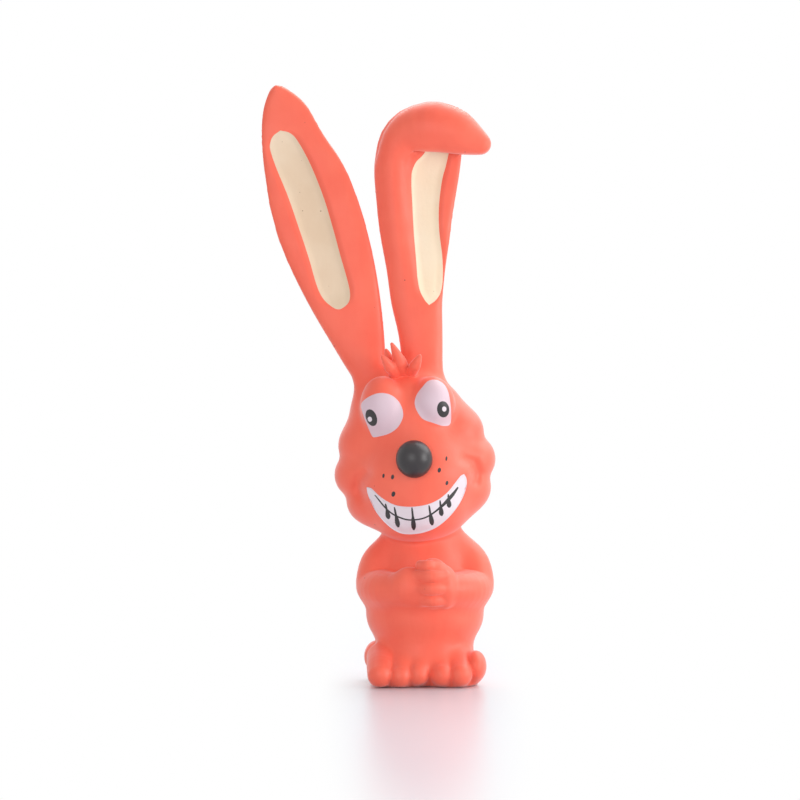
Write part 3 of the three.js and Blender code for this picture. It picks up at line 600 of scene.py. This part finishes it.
finishSettings = {
    "latex": {"colour": (0.95, 0.15, 0.085), "deep": (0.91, 0.115, 0.062), "speck": (0.30, 0.03, 0.02),
              "roughness": (0.42, 0.56), "specks": 0.04, "bump": 0.08, "sheen": 0.38},
    "cream": {"colour": (0.81, 0.635, 0.46), "deep": (0.74, 0.54, 0.365), "speck": (0.32, 0.17, 0.10),
              "roughness": (0.5, 0.65), "specks": 0.9, "bump": 0.10, "sheen": 0.1},
    # a lighter copy of the cream lining paint: painted light for the extra light the folded ear's lining
    # catches from the right and above
    "lit_cream": {"colour": (0.93, 0.77, 0.57), "deep": (0.90, 0.70, 0.48), "speck": (0.36, 0.20, 0.12),
                   "roughness": (0.5, 0.65), "specks": 0.4, "bump": 0.10, "sheen": 0.1},
    "white": {"colour": (0.72, 0.55, 0.61), "deep": (0.69, 0.49, 0.55), "speck": (0.55, 0.33, 0.36),
              "roughness": (0.35, 0.5), "specks": 0.12, "bump": 0.06, "sheen": 0.0},
    "tooth_white": {"colour": (0.80, 0.72, 0.76), "deep": (0.75, 0.63, 0.68), "speck": (0.55, 0.33, 0.36),
                    "roughness": (0.35, 0.5), "specks": 0.08, "bump": 0.06, "sheen": 0.0},
    "black": {"colour": (0.022, 0.019, 0.021), "deep": (0.035, 0.028, 0.031), "speck": (0.010, 0.009, 0.010),
              "roughness": (0.28, 0.42), "specks": 0.05, "bump": 0.05, "sheen": 0.0},
    "fibre": {"colour": (0.84, 0.84, 0.80), "deep": (0.72, 0.72, 0.68), "speck": (0.60, 0.60, 0.56),
              "roughness": (0.85, 0.98), "specks": 0.3, "bump": 0.6, "sheen": 0.3},
    "plastic": {"colour": (0.80, 0.79, 0.74), "deep": (0.74, 0.72, 0.66), "speck": (0.60, 0.58, 0.52),
                "roughness": (0.3, 0.42), "specks": 0.04, "bump": 0.03, "sheen": 0.0},
    "film": {"colour": (0.58, 0.48, 0.25), "deep": (0.52, 0.42, 0.21), "speck": (0.40, 0.31, 0.15),
             "roughness": (0.2, 0.3), "specks": 0.03, "bump": 0.02, "sheen": 0.0},
}


grainSettings = {  # scale, detail and stretch of each noise, and what its span gives
    "cloud": (55, 3), "cloudSpan": (0.35, 0.7, 0, 0.8),
    "streak": (260, 2, (1, 1, 0.12)), "streakSpan": (0.5, 0.75, 0, 0.35),
    "cellScale": 260, "dotSpan": (0.05, 0.09, 1, 0), "rareSpan": 0.02, "speckShare": 0.85,
    "gloss": (90, 4), "glossSpan": (0.3, 0.7), "sheenRoughness": 0.45,
    "bump": (700, 3), "bumpDistance": 0.0006,
}


def mathNode(tree, operation, a, b):
    node = tree.nodes.new("ShaderNodeMath")
    node.operation = operation
    tree.links.new(a, node.inputs[0])
    tree.links.new(b, node.inputs[1])
    return node.outputs[0]


def mouldedFinish(name, s):
    grain = grainSettings
    material = bpy.data.materials.new(name)
    material.use_nodes = True
    nodes, links = material.node_tree.nodes, material.node_tree.links
    shader = nodes["Principled BSDF"]
    shader.inputs["Sheen Weight"].default_value = s["sheen"]
    shader.inputs["Sheen Roughness"].default_value = grain["sheenRoughness"]
    place = nodes.new("ShaderNodeTexCoord")

    def noise(scale, detail, stretch=(1, 1, 1)):
        turn = nodes.new("ShaderNodeMapping")
        turn.inputs["Scale"].default_value = stretch
        links.new(place.outputs["Object"], turn.inputs["Vector"])
        node = nodes.new("ShaderNodeTexNoise")
        node.inputs["Scale"].default_value = scale
        node.inputs["Detail"].default_value = detail
        links.new(turn.outputs["Vector"], node.inputs["Vector"])
        return node.outputs["Fac"]

    def span(value, low, high, first, last):
        node = nodes.new("ShaderNodeMapRange")
        node.inputs["From Min"].default_value = low
        node.inputs["From Max"].default_value = high
        node.inputs["To Min"].default_value = first
        node.inputs["To Max"].default_value = last
        links.new(value, node.inputs["Value"])
        return node.outputs["Result"]

    def mix(share, first, second):
        node = nodes.new("ShaderNodeMix")
        node.data_type = "RGBA"
        links.new(share, node.inputs[0])
        for socket, colour in ((node.inputs[6], first), (node.inputs[7], second)):
            if isinstance(colour, tuple):
                socket.default_value = (*colour, 1)
            else:
                links.new(colour, socket)
        return node.outputs[2]

    cloud = noise(*grain["cloud"])
    streak = noise(*grain["streak"])
    colour = mix(span(cloud, *grain["cloudSpan"]), s["colour"], s["deep"])
    colour = mix(span(streak, *grain["streakSpan"]), colour, s["deep"])
    cells = nodes.new("ShaderNodeTexVoronoi")  # pinholes and specks left by the mould
    cells.inputs["Scale"].default_value = grain["cellScale"]
    links.new(place.outputs["Object"], cells.inputs["Vector"])
    dot = span(cells.outputs["Distance"], *grain["dotSpan"])
    chosen = nodes.new("ShaderNodeSeparateColor")
    links.new(cells.outputs["Color"], chosen.inputs["Color"])
    common = 1 - s["specks"]
    rare = span(chosen.outputs["Red"], common, common + grain["rareSpan"], 0, grain["speckShare"])
    speck = mathNode(material.node_tree, "MULTIPLY", dot, rare)
    links.new(mix(speck, colour, s["speck"]), shader.inputs["Base Color"])
    gloss = span(noise(*grain["gloss"]), *grain["glossSpan"], *s["roughness"])
    links.new(gloss, shader.inputs["Roughness"])
    bump = nodes.new("ShaderNodeBump")
    bump.inputs["Strength"].default_value = s["bump"]
    bump.inputs["Distance"].default_value = grain["bumpDistance"]
    links.new(noise(*grain["bump"]), bump.inputs["Height"])
    links.new(bump.outputs["Normal"], shader.inputs["Normal"])
    return material


finishes = {name: mouldedFinish("toy_" + name, s) for name, s in finishSettings.items()}
print("finishes:", len(finishes))


# Skin pieces, cut where the joints need it

skinSettings = {  # boxes are lowest and highest corners
    "bodyStep": 0.65, "headStep": 0.6, "earStep": 0.7,
    "bodyBox": ((-30, -32, -1.5), (30, 30, 64)), "headBox": ((-34, -36, -34), (34, 26, 50)),
    "straightBox": ((-20, -9, -3), (19, 8, 119)), "foldedBox": ((-20, -22, -3), (33, 9, 104)),
    "baseTop": 13.5, "squeezeMiddle": 36.0, "sideCut": 0.0,
    "neckWay": (0, -0.224, 0.975), "neckCut": 55.5, "neckBendEnd": 65.0,
    "earCut": 1.0, "earBendEnd": 13.0, "earReach": 14.0, "earReachDepth": 1.5, "earFree": 14.0,
}
neckWay = np.array(skinSettings["neckWay"]) / np.linalg.norm(skinSettings["neckWay"])


def earSide(p, place, own, other):  # below zero outside an ear, above zero past its cut
    s = skinSettings
    e = inFrame(p, place)
    reach = np.hypot(e[:, 0], s["earReachDepth"] * e[:, 1])
    near = np.maximum(s["earReach"] - reach, e[:, 2] - s["earFree"])
    return np.minimum.reduce([e[:, 2] - s["earCut"], near, other(p) - own(p)])  # leaves the other ear out


straightParts = (straightFrame, straightEarField, foldedEarField)
foldedParts = (foldedFrame, foldedEarField, straightEarField)

bodySkin = growSkin(skinField, toyFrame, *skinSettings["bodyBox"], skinSettings["bodyStep"])
bodySkin = keepPart(bodySkin, bodySkin[0] @ neckWay - skinSettings["neckCut"])
print("body skin:", len(bodySkin[2]), "triangles")

baseSkin = keepPart(bodySkin, bodySkin[0][:, 2] - skinSettings["baseTop"])
base = layMesh("base_and_feet", baseSkin, finishes["latex"])
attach(base, "body")
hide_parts("torso_skin", "left_foot", "right_foot", "tail")

squeezeSettings = {  # start and end along each way, in millimetres
    "belly_front": {"wall": "front", "way": (0, -0.8, 0.6), "span": (22.1, 37.6), "nodes": ("front_wall",)},
    "chest_front": {"wall": "front", "way": (0, -0.8, -0.6), "span": (-21.1, -5.6),
                    "nodes": ("left_forearm", "right_forearm", "left_hand", "right_hand",
                              "left_upper_arm", "right_upper_arm")},
    "belly_back": {"wall": "back", "way": (0, 0.8, 0.6), "span": (28.5, 37.6), "nodes": ("back_wall",)},
    "chest_back": {"wall": "back", "way": (0, 0.8, -0.6), "span": (-14.7, -5.6), "nodes": ()},
}
wallSkin = keepPart(bodySkin, skinSettings["baseTop"] - bodySkin[0][:, 2])
for name, s in squeezeSettings.items():
    height = wallSkin[0][:, 2] - skinSettings["squeezeMiddle"]
    part = keepPart(wallSkin, -height if "chest" in name else height)
    depth = part[0][:, 1] - skinSettings["sideCut"]
    part = keepPart(part, depth if s["wall"] == "front" else -depth)
    piece = layMesh(name, part, finishes["latex"])
    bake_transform(piece)
    if s["nodes"]:
        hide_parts(*s["nodes"])
print("body pieces:", 1 + len(squeezeSettings))

headSkin = growSkin(skinField, headFrame, *skinSettings["headBox"], skinSettings["headStep"])
headSkin = keepPart(headSkin, skinSettings["neckCut"] - headSkin[0] @ neckWay)
headSkin = keepPart(headSkin, earSide(headSkin[0], *straightParts))
headSkin = keepPart(headSkin, earSide(headSkin[0], *foldedParts))
head = layMesh("head_skin_moulded", headSkin, finishes["latex"])
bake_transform(head)
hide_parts("head_skin", "hair_tuft", "neck")
print("head skin:", len(headSkin[2]), "triangles")


def earBend(piece):
    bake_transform(piece)


straightSkin = growSkin(skinField, straightFrame, *skinSettings["straightBox"], skinSettings["earStep"])
straightSkin = keepPart(straightSkin, -earSide(straightSkin[0], *straightParts))
straightEar = layMesh("straight_ear_moulded", straightSkin, finishes["latex"])
earBend(straightEar)
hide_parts("straight_ear", "straight_ear_root")

foldedSkin = growSkin(skinField, foldedFrame, *skinSettings["foldedBox"], skinSettings["earStep"])
foldedSkin = keepPart(foldedSkin, -earSide(foldedSkin[0], *foldedParts))


def tipSide(p):  # below zero in the folded tip
    s = foldedSettings
    e = inFrame(p, foldedFrame)
    y, _, left, low = s["slit"]
    return np.maximum.reduce([e[:, 1] - y, s["foldSpan"][0] - foldSide(e), left - e[:, 0], low - e[:, 2]])


bladeSkin = keepPart(foldedSkin, -tipSide(foldedSkin[0]))
foldedEar = layMesh("folded_ear_moulded", bladeSkin, finishes["latex"])
earBend(foldedEar)
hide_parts("folded_ear", "folded_ear_root", "folded_ear_crease")
tipSkin = keepPart(foldedSkin, tipSide(foldedSkin[0]))
foldedTip = layMesh("folded_ear_tip_moulded", tipSkin, finishes["latex"])
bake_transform(foldedTip)
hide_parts("folded_ear_tip")
print("ears:", len(straightSkin[2]), len(foldedSkin[2]), "triangles")


# Painted fields: thin films that follow the skin below them

filmSettings = {
    "lift": 0.12, "edgeLift": 0.02, "startY": -60.0, "rounds": 60, "stepSpan": (-2, 6), "stepShare": 0.8,
    "leastArea": 1e-7, "ovalSteps": 8,
}


def layFilm(field, place, left, right, grid, lift=0.0):
    s = filmSettings
    rows, columns = grid
    u = np.linspace(0, 1, rows)
    a, b = curveAt(left, u), curveAt(right, u)
    v = np.linspace(0, 1, columns)
    flat = a[:, None] + (b - a)[:, None] * v[None, :, None]
    x, z = flat[..., 0].ravel(), flat[..., 1].ravel()
    q = np.stack([x, np.full(len(x), s["startY"]), z], 1)
    for _ in range(s["rounds"]):
        d = field(inToy(q, place))
        q[:, 1] += np.clip(d, *s["stepSpan"]) * s["stepShare"]
    p = inToy(q, place)
    g = slope(field, p)
    normal = g / np.linalg.norm(g, axis=1)[:, None]
    i, j = np.meshgrid(np.arange(rows), np.arange(columns), indexing="ij")
    inner = np.minimum.reduce([i, rows - 1 - i, j, columns - 1 - j]).ravel()
    rise = np.where(inner == 0, s["edgeLift"], s["lift"]) + lift
    p = p + normal * rise[:, None]
    k = (i * columns + j)[:-1, :-1].ravel()
    across = k + columns + 1
    faces = np.concatenate([np.stack([k, k + 1, across], 1), np.stack([k, across, k + columns], 1)])
    corner = p[faces]
    face = np.cross(corner[:, 1] - corner[:, 0], corner[:, 2] - corner[:, 0])
    area = np.linalg.norm(face, axis=1)
    if (face * normal[faces[:, 0]]).sum() < 0:
        faces = faces[:, ::-1]
    return p, normal, faces[area > s["leastArea"]]


def headFilm(edges, grid, lift=0.0):
    return layFilm(headField, headFrame, *edges, grid, lift)


def gather(skins):
    p, normal, faces, start = [], [], [], 0
    for skin in skins:
        p.append(skin[0])
        normal.append(skin[1])
        faces.append(skin[2] + start)
        start += len(skin[0])
    return np.vstack(p), np.vstack(normal), np.vstack(faces)


def ovalEdges(x, z, wide, high, lean=0.0):
    left, right = [], []
    steps = filmSettings["ovalSteps"]
    for i in range(steps + 1):
        turn = math.pi * i / steps
        up, out = -math.cos(turn) * high / 2, math.sin(turn) * wide / 2
        tilt = up * math.tan(math.radians(lean))
        left.append((x - out + tilt, z + up))
        right.append((x + out + tilt, z + up))
    return left, right


s = straightSettings
film = layFilm(straightEarField, straightFrame, s["left"], s["right"], s["filmGrid"])
straightLining = layMesh("straight_ear_lining_paint", film, finishes["cream"])
earBend(straightLining)
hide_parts("straight_ear_lining")
s = foldedSettings
film = layFilm(foldedBladeField, foldedFrame, s["left"], s["right"], s["filmGrid"])
# the folded ear's lining takes the lighter copy of the cream: painted light, not a different paint
foldedLining = layMesh("folded_ear_lining_paint", film, finishes["lit_cream"])
earBend(foldedLining)
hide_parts("folded_ear_lining")

eyeSettings = {
    "left": {"inner": ((-14.2, 11.8), (-12.6, 11.9), (-8.3, 12.6), (-4.8, 14.4), (-2.6, 17.1), (-1.8, 19.6),
                       (-2.2, 22.7), (-3.7, 25.5), (-5.8, 27.4), (-8.4, 28.4)),
             "outer": ((-14.2, 11.8), (-15, 12.8), (-16.1, 16.8), (-17.1, 21.2), (-17.4, 24.1), (-16.5, 26),
                       (-13.7, 27.7), (-10.7, 28.5), (-8.4, 28.4)),
             "pupil": (-14, 19.6, 4.3, 6.6, -6), "glint": (-14.6, 19.1)},
    "right": {"inner": ((13.9, 12.3), (12.1, 12.7), (9.1, 14.3), (5.6, 16.2), (3.9, 18.8), (3.1, 21.7),
                        (3.4, 24), (4.8, 26.4), (7.1, 28.6), (8.9, 30.1), (10.9, 30.6)),
              "outer": ((13.9, 12.3), (15, 12.4), (15.8, 13.6), (16.3, 16.5), (16.6, 20.2), (16.4, 25),
                        (15.2, 28.2), (13.1, 30), (10.9, 30.6)),
              "pupil": (13.5, 19, 4.7, 6.3, 0), "glint": (13.9, 19.1)},
}
eyeFilms = {"white": (44, 36), "pupil": (20, 16), "pupilLift": 0.08, "glint": (12, 10), "glintLift": 0.16,
            "glintSize": (1.7, 2.0)}
for side, s in eyeSettings.items():
    edges = (s["outer"], s["inner"]) if side == "left" else (s["inner"], s["outer"])
    white = layMesh(side + "_eye_white", headFilm(edges, eyeFilms["white"]), finishes["white"])
    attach(white, "head")
    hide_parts(side + "_eye")
    film = headFilm(ovalEdges(*s["pupil"]), eyeFilms["pupil"], eyeFilms["pupilLift"])
    pupil = layMesh(side + "_pupil_paint", film, finishes["black"])
    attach(pupil, "head")
    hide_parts(side + "_pupil")
    film = headFilm(ovalEdges(*s["glint"], *eyeFilms["glintSize"]), eyeFilms["glint"], eyeFilms["glintLift"])
    glint = layMesh(side + "_pupil_dot", film, finishes["tooth_white"])
    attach(glint, "head")

film = headFilm((mouthSettings["lowerLip"], mouthSettings["upperLip"]), mouthSettings["filmGrid"])
teeth = layMesh("teeth_paint", film, finishes["tooth_white"])
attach(teeth, "head")
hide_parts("teeth")

strokeSettings = {  # tooth strokes from top to bottom, thin above the bite line and full below it
    "strokes": (((-13.2, -13.4), (-13, -16.4), (-12.8, -19.6)), ((-10, -15), (-9.8, -19), (-9.6, -23.2)),
                ((-3.4, -15.9), (-3.6, -20.5), (-3.9, -25)), ((3.1, -16), (3.2, -20), (3.3, -24.1)),
                ((7.5, -14.8), (7.4, -18), (7.3, -21)), ((10.9, -13), (10.8, -15.6), (10.6, -18.3))),
    "halfWidths": (0.2, 0.34, 0.38, 0.4, 0.6, 0.8, 0.92, 0.84, 0.3),
    "biteHalfWidths": (0.2, 0.3, 0.3, 0.3, 0.3, 0.3, 0.3, 0.34, 0.6, 0.72, 0.3),
    "points": 25, "grid": (24, 5), "biteGrid": (80, 5), "lift": 0.1,
}


def strokeEdges(path, halfWidths):
    u = np.linspace(0, 1, strokeSettings["points"])
    middle = curveAt(path, u)
    way = np.gradient(middle, axis=0)
    across = np.stack([-way[:, 1], way[:, 0]], 1) / np.linalg.norm(way, axis=1)[:, None]
    half = np.interp(u, np.linspace(0, 1, len(halfWidths)), halfWidths)[:, None]
    return [tuple(q) for q in middle - across * half], [tuple(q) for q in middle + across * half]


s = strokeSettings
strokes = [headFilm(strokeEdges(path, s["halfWidths"]), s["grid"], s["lift"]) for path in s["strokes"]]
biteEdges = strokeEdges(mouthSettings["biteLine"], s["biteHalfWidths"])
strokes.append(headFilm(biteEdges, s["biteGrid"], s["lift"]))
toothLines = layMesh("tooth_lines", gather(strokes), finishes["black"])
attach(toothLines, "head")

freckleSettings = {  # place, width and height of each
    "spots": ((-12.5, -2.7, 0.9, 1.6), (-9.1, -3.5, 1.2, 1.8), (-9.7, -10, 1.5, 2.0),
              (12.2, 0.4, 0.8, 1.7), (8.9, -3.4, 1.3, 1.8), (11.1, -8.7, 1.1, 1.7)),
    "lean": 12, "grid": (10, 8),
}
s = freckleSettings
spots = [headFilm(ovalEdges(*spot, s["lean"]), s["grid"]) for spot in s["spots"]]
freckles = layMesh("freckles", gather(spots), finishes["black"])
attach(freckles, "head")
print("painted fields done")


# Nose: a satin ball set on the muzzle

noseSettings = {
    "middle": (0, -25.9, 2.3), "radii": (7.0, 7.0, 7.2), "neck": ((0, -20, 1.8, 5.4), (0, -25, 2.2, 5.6)),
    "neckSoft": 1.0, "box": ((-9, -35, -8), (9, -12, 11)), "step": 0.5,
}


def noseField(p):
    s = noseSettings
    q = inFrame(p, headFrame)
    return meld(egg(q, s["middle"], s["radii"]), limb(q, s["neck"]), s["neckSoft"])


noseSkin = growSkin(noseField, headFrame, *noseSettings["box"], noseSettings["step"])
nose = layMesh("nose_ball", noseSkin, finishes["black"])
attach(nose, "head")
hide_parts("nose")


# Filling: loose fibre that fills the torso and the head

fillSettings = {
    "shrink": 3.2, "headShrink": 0.8, "step": 1.6, "squeezeKeep": 0.55,
    "lump": 0.7, "lumpWaves": ((0.9, 0), (0.8, 1), (0.7, 2)),  # scale and shift along each axis
    "low": 5.8, "high": 51, "wellRadius": 7, "wellTop": 22, "wellSoft": 1,
    "torsoBox": ((-26, -24, 2), (26, 24, 58)), "headBox": ((-26, -28, -32), (26, 24, 40)),
}


def lumps(p):
    rise = fillSettings["lump"]
    for axis, (scale, shift) in enumerate(fillSettings["lumpWaves"]):
        rise = rise * np.sin(p[:, axis] * scale + shift)
    return rise


def torsoFillField(p):
    s, f = bodySettings, fillSettings
    d = meld(egg(p, *s["belly"]), egg(p, *s["hips"]), s["hipsSoft"])
    d = meld(d, egg(p, *s["chest"]), s["chestSoft"]) + f["shrink"]
    d = np.maximum(d, f["low"] - p[:, 2])
    reach = np.hypot(p[:, 0], p[:, 1] - s["squeakerSeat"][0])
    well = np.maximum(reach - f["wellRadius"], p[:, 2] - f["wellTop"])
    return carve(np.maximum(d, p[:, 2] - f["high"]), well, f["wellSoft"]) + lumps(p)


def headFillField(p):
    s, f = headSettings, fillSettings
    q = inFrame(p, headFrame)
    d = meld(egg(q, *s["skull"]), egg(q, *s["face"]), s["faceSoft"])
    d = meld(d, egg(q, *s["jaw"]), s["jawSoft"])
    return d + f["shrink"] + f["headShrink"] + lumps(p)


fillSkin = growSkin(torsoFillField, toyFrame, *fillSettings["torsoBox"], fillSettings["step"])
torsoFill = layMesh("torso_fibre", fillSkin, finishes["fibre"])
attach(torsoFill, "body")
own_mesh(torsoFill)
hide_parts("torso_fill")
fillSkin = growSkin(headFillField, headFrame, *fillSettings["headBox"], fillSettings["step"])
headFill = layMesh("head_fibre", fillSkin, finishes["fibre"])
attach(headFill, "head")
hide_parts("head_fill")
for node in ("squeaker_body", "squeaker_cap", "reed_block", "reed_clamp", "reed"):
    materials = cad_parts[node].data.materials
    materials.clear()
    materials.append(finishes["film" if node == "reed" else "plastic"])
print("nose, filling and squeaker done")


# Stage: a white floor with a darker streak of painted shade under the toy, white surroundings, soft lamps and
# the camera

stageSettings = {
    # the floor's own colour is a grey painted shade; the clear values bound the streak where it shows
    "floorSize": 6.0, "floorShadeColour": (0.67, 0.69, 0.745), "floorRoughness": 0.3,
    "clearStart": 0.016, "clearEnd": 0.042, "clearDepth": 0.065, "worldLight": 0.54,
    "cameraAim": (-9.6, 0, 109.0), "cameraElevation": 3.5, "cameraDistance": 2400.0, "frameWidth": 308.0,
    "sensorWidth": 36, "cameraClip": (0.01, 20), "lampAim": (-0.01, 0, 0.1),
    "lamps": {  # place in metres, size in metres, watts
        "key": ((0.75, 0.35, 0.9), 0.9, 6.5),
        "top": ((0.0, 0.9, 1.3), 1.2, 13.0),
        "front": ((-0.35, -1.2, 0.35), 0.8, 3.8),
        "right": ((0.95, -0.4, 0.3), 0.6, 5.2),
    },
}


def showingRays(tree):  # 1 for rays that show the surroundings: seen, mirrored or through glass
    path = tree.nodes.new("ShaderNodeLightPath").outputs
    rays = mathNode(tree, "MAXIMUM", path["Is Camera Ray"], path["Is Glossy Ray"])
    return mathNode(tree, "MAXIMUM", rays, path["Is Transmission Ray"])


def mixSurface(tree, share, first, second, output):
    mix = tree.nodes.new("ShaderNodeMixShader")
    for socket, value in zip(mix.inputs, (share, first.outputs[0], second.outputs[0])):
        tree.links.new(value, socket)
    tree.links.new(mix.outputs[0], tree.nodes[output].inputs["Surface"])


def addFloor():
    s = stageSettings
    half = s["floorSize"] / 2
    mesh = bpy.data.meshes.new("floor")
    corners = [(-half, -half, 0), (half, -half, 0), (half, half, 0), (-half, half, 0)]
    mesh.from_pydata(corners, [], [(0, 1, 2, 3)])
    floor = bpy.data.objects.new("floor", mesh)
    bpy.context.scene.collection.objects.link(floor)
    material = bpy.data.materials.new("table_with_shade_streak")
    material.use_nodes = True
    tree = material.node_tree
    nodes, links = tree.nodes, tree.links
    shader = nodes["Principled BSDF"]
    # the floor colour is darker than the white table: painted shade that shows only inside the streak under
    # the toy, with the real shadow and reflection on top
    shader.inputs["Base Color"].default_value = (*s["floorShadeColour"], 1)
    shader.inputs["Roughness"].default_value = s["floorRoughness"]
    place = nodes.new("ShaderNodeTexCoord")
    narrow = nodes.new("ShaderNodeMapping")  # the darker floor shows in a streak that runs from the toy towards the camera: painted shade, holding the toy's rendered shadow and reflection
    narrow.inputs["Scale"].default_value = (1, s["clearDepth"], 1)
    links.new(place.outputs["Object"], narrow.inputs["Vector"])
    reach = nodes.new("ShaderNodeVectorMath")
    reach.operation = "LENGTH"
    links.new(narrow.outputs["Vector"], reach.inputs[0])
    far = nodes.new("ShaderNodeMapRange")
    far.interpolation_type = "SMOOTHSTEP"
    far.inputs["From Min"].default_value = s["clearStart"]
    far.inputs["From Max"].default_value = s["clearEnd"]
    links.new(reach.outputs["Value"], far.inputs["Value"])
    seen = mathNode(tree, "MULTIPLY", far.outputs["Result"], showingRays(tree))
    white = nodes.new("ShaderNodeEmission")
    mixSurface(tree, seen, shader, white, "Material Output")
    mesh.materials.append(material)


def addWorld():
    world = bpy.data.worlds.new("studio")
    bpy.context.scene.world = world
    world.use_nodes = True
    tree = world.node_tree
    light = tree.nodes["Background"]
    light.inputs["Color"].default_value = (1, 1, 1, 1)
    light.inputs["Strength"].default_value = stageSettings["worldLight"]
    white = tree.nodes.new("ShaderNodeBackground")
    white.inputs["Color"].default_value = (1, 1, 1, 1)
    mixSurface(tree, showingRays(tree), light, white, "World Output")


def aimAt(thing, target):
    thing.rotation_mode = "QUATERNION"
    thing.rotation_quaternion = (Vector(target) - thing.location).to_track_quat("-Z", "Y")


def addLamps():
    for name, (place, size, watts) in stageSettings["lamps"].items():
        lamp = bpy.data.lights.new(name, "AREA")
        lamp.shape = "SQUARE"
        lamp.size = size
        lamp.energy = watts
        thing = bpy.data.objects.new("lamp_" + name, lamp)
        thing.location = place
        aimAt(thing, stageSettings["lampAim"])
        bpy.context.scene.collection.objects.link(thing)


def addCamera():
    s = stageSettings
    camera = bpy.data.cameras.new("camera")
    camera.sensor_width = s["sensorWidth"]
    camera.lens = camera.sensor_width * s["cameraDistance"] / s["frameWidth"]
    camera.clip_start, camera.clip_end = s["cameraClip"]
    thing = bpy.data.objects.new("camera", camera)
    aim = np.array(s["cameraAim"]) * mm
    rise = math.radians(s["cameraElevation"])
    thing.location = Vector(aim + s["cameraDistance"] * mm * np.array([0, -math.cos(rise), math.sin(rise)]))
    aimAt(thing, aim)
    bpy.context.scene.collection.objects.link(thing)
    bpy.context.scene.camera = thing


addFloor()
addWorld()
addLamps()
addCamera()
bpy.context.scene.view_settings.view_transform = "Standard"
print("stage done")
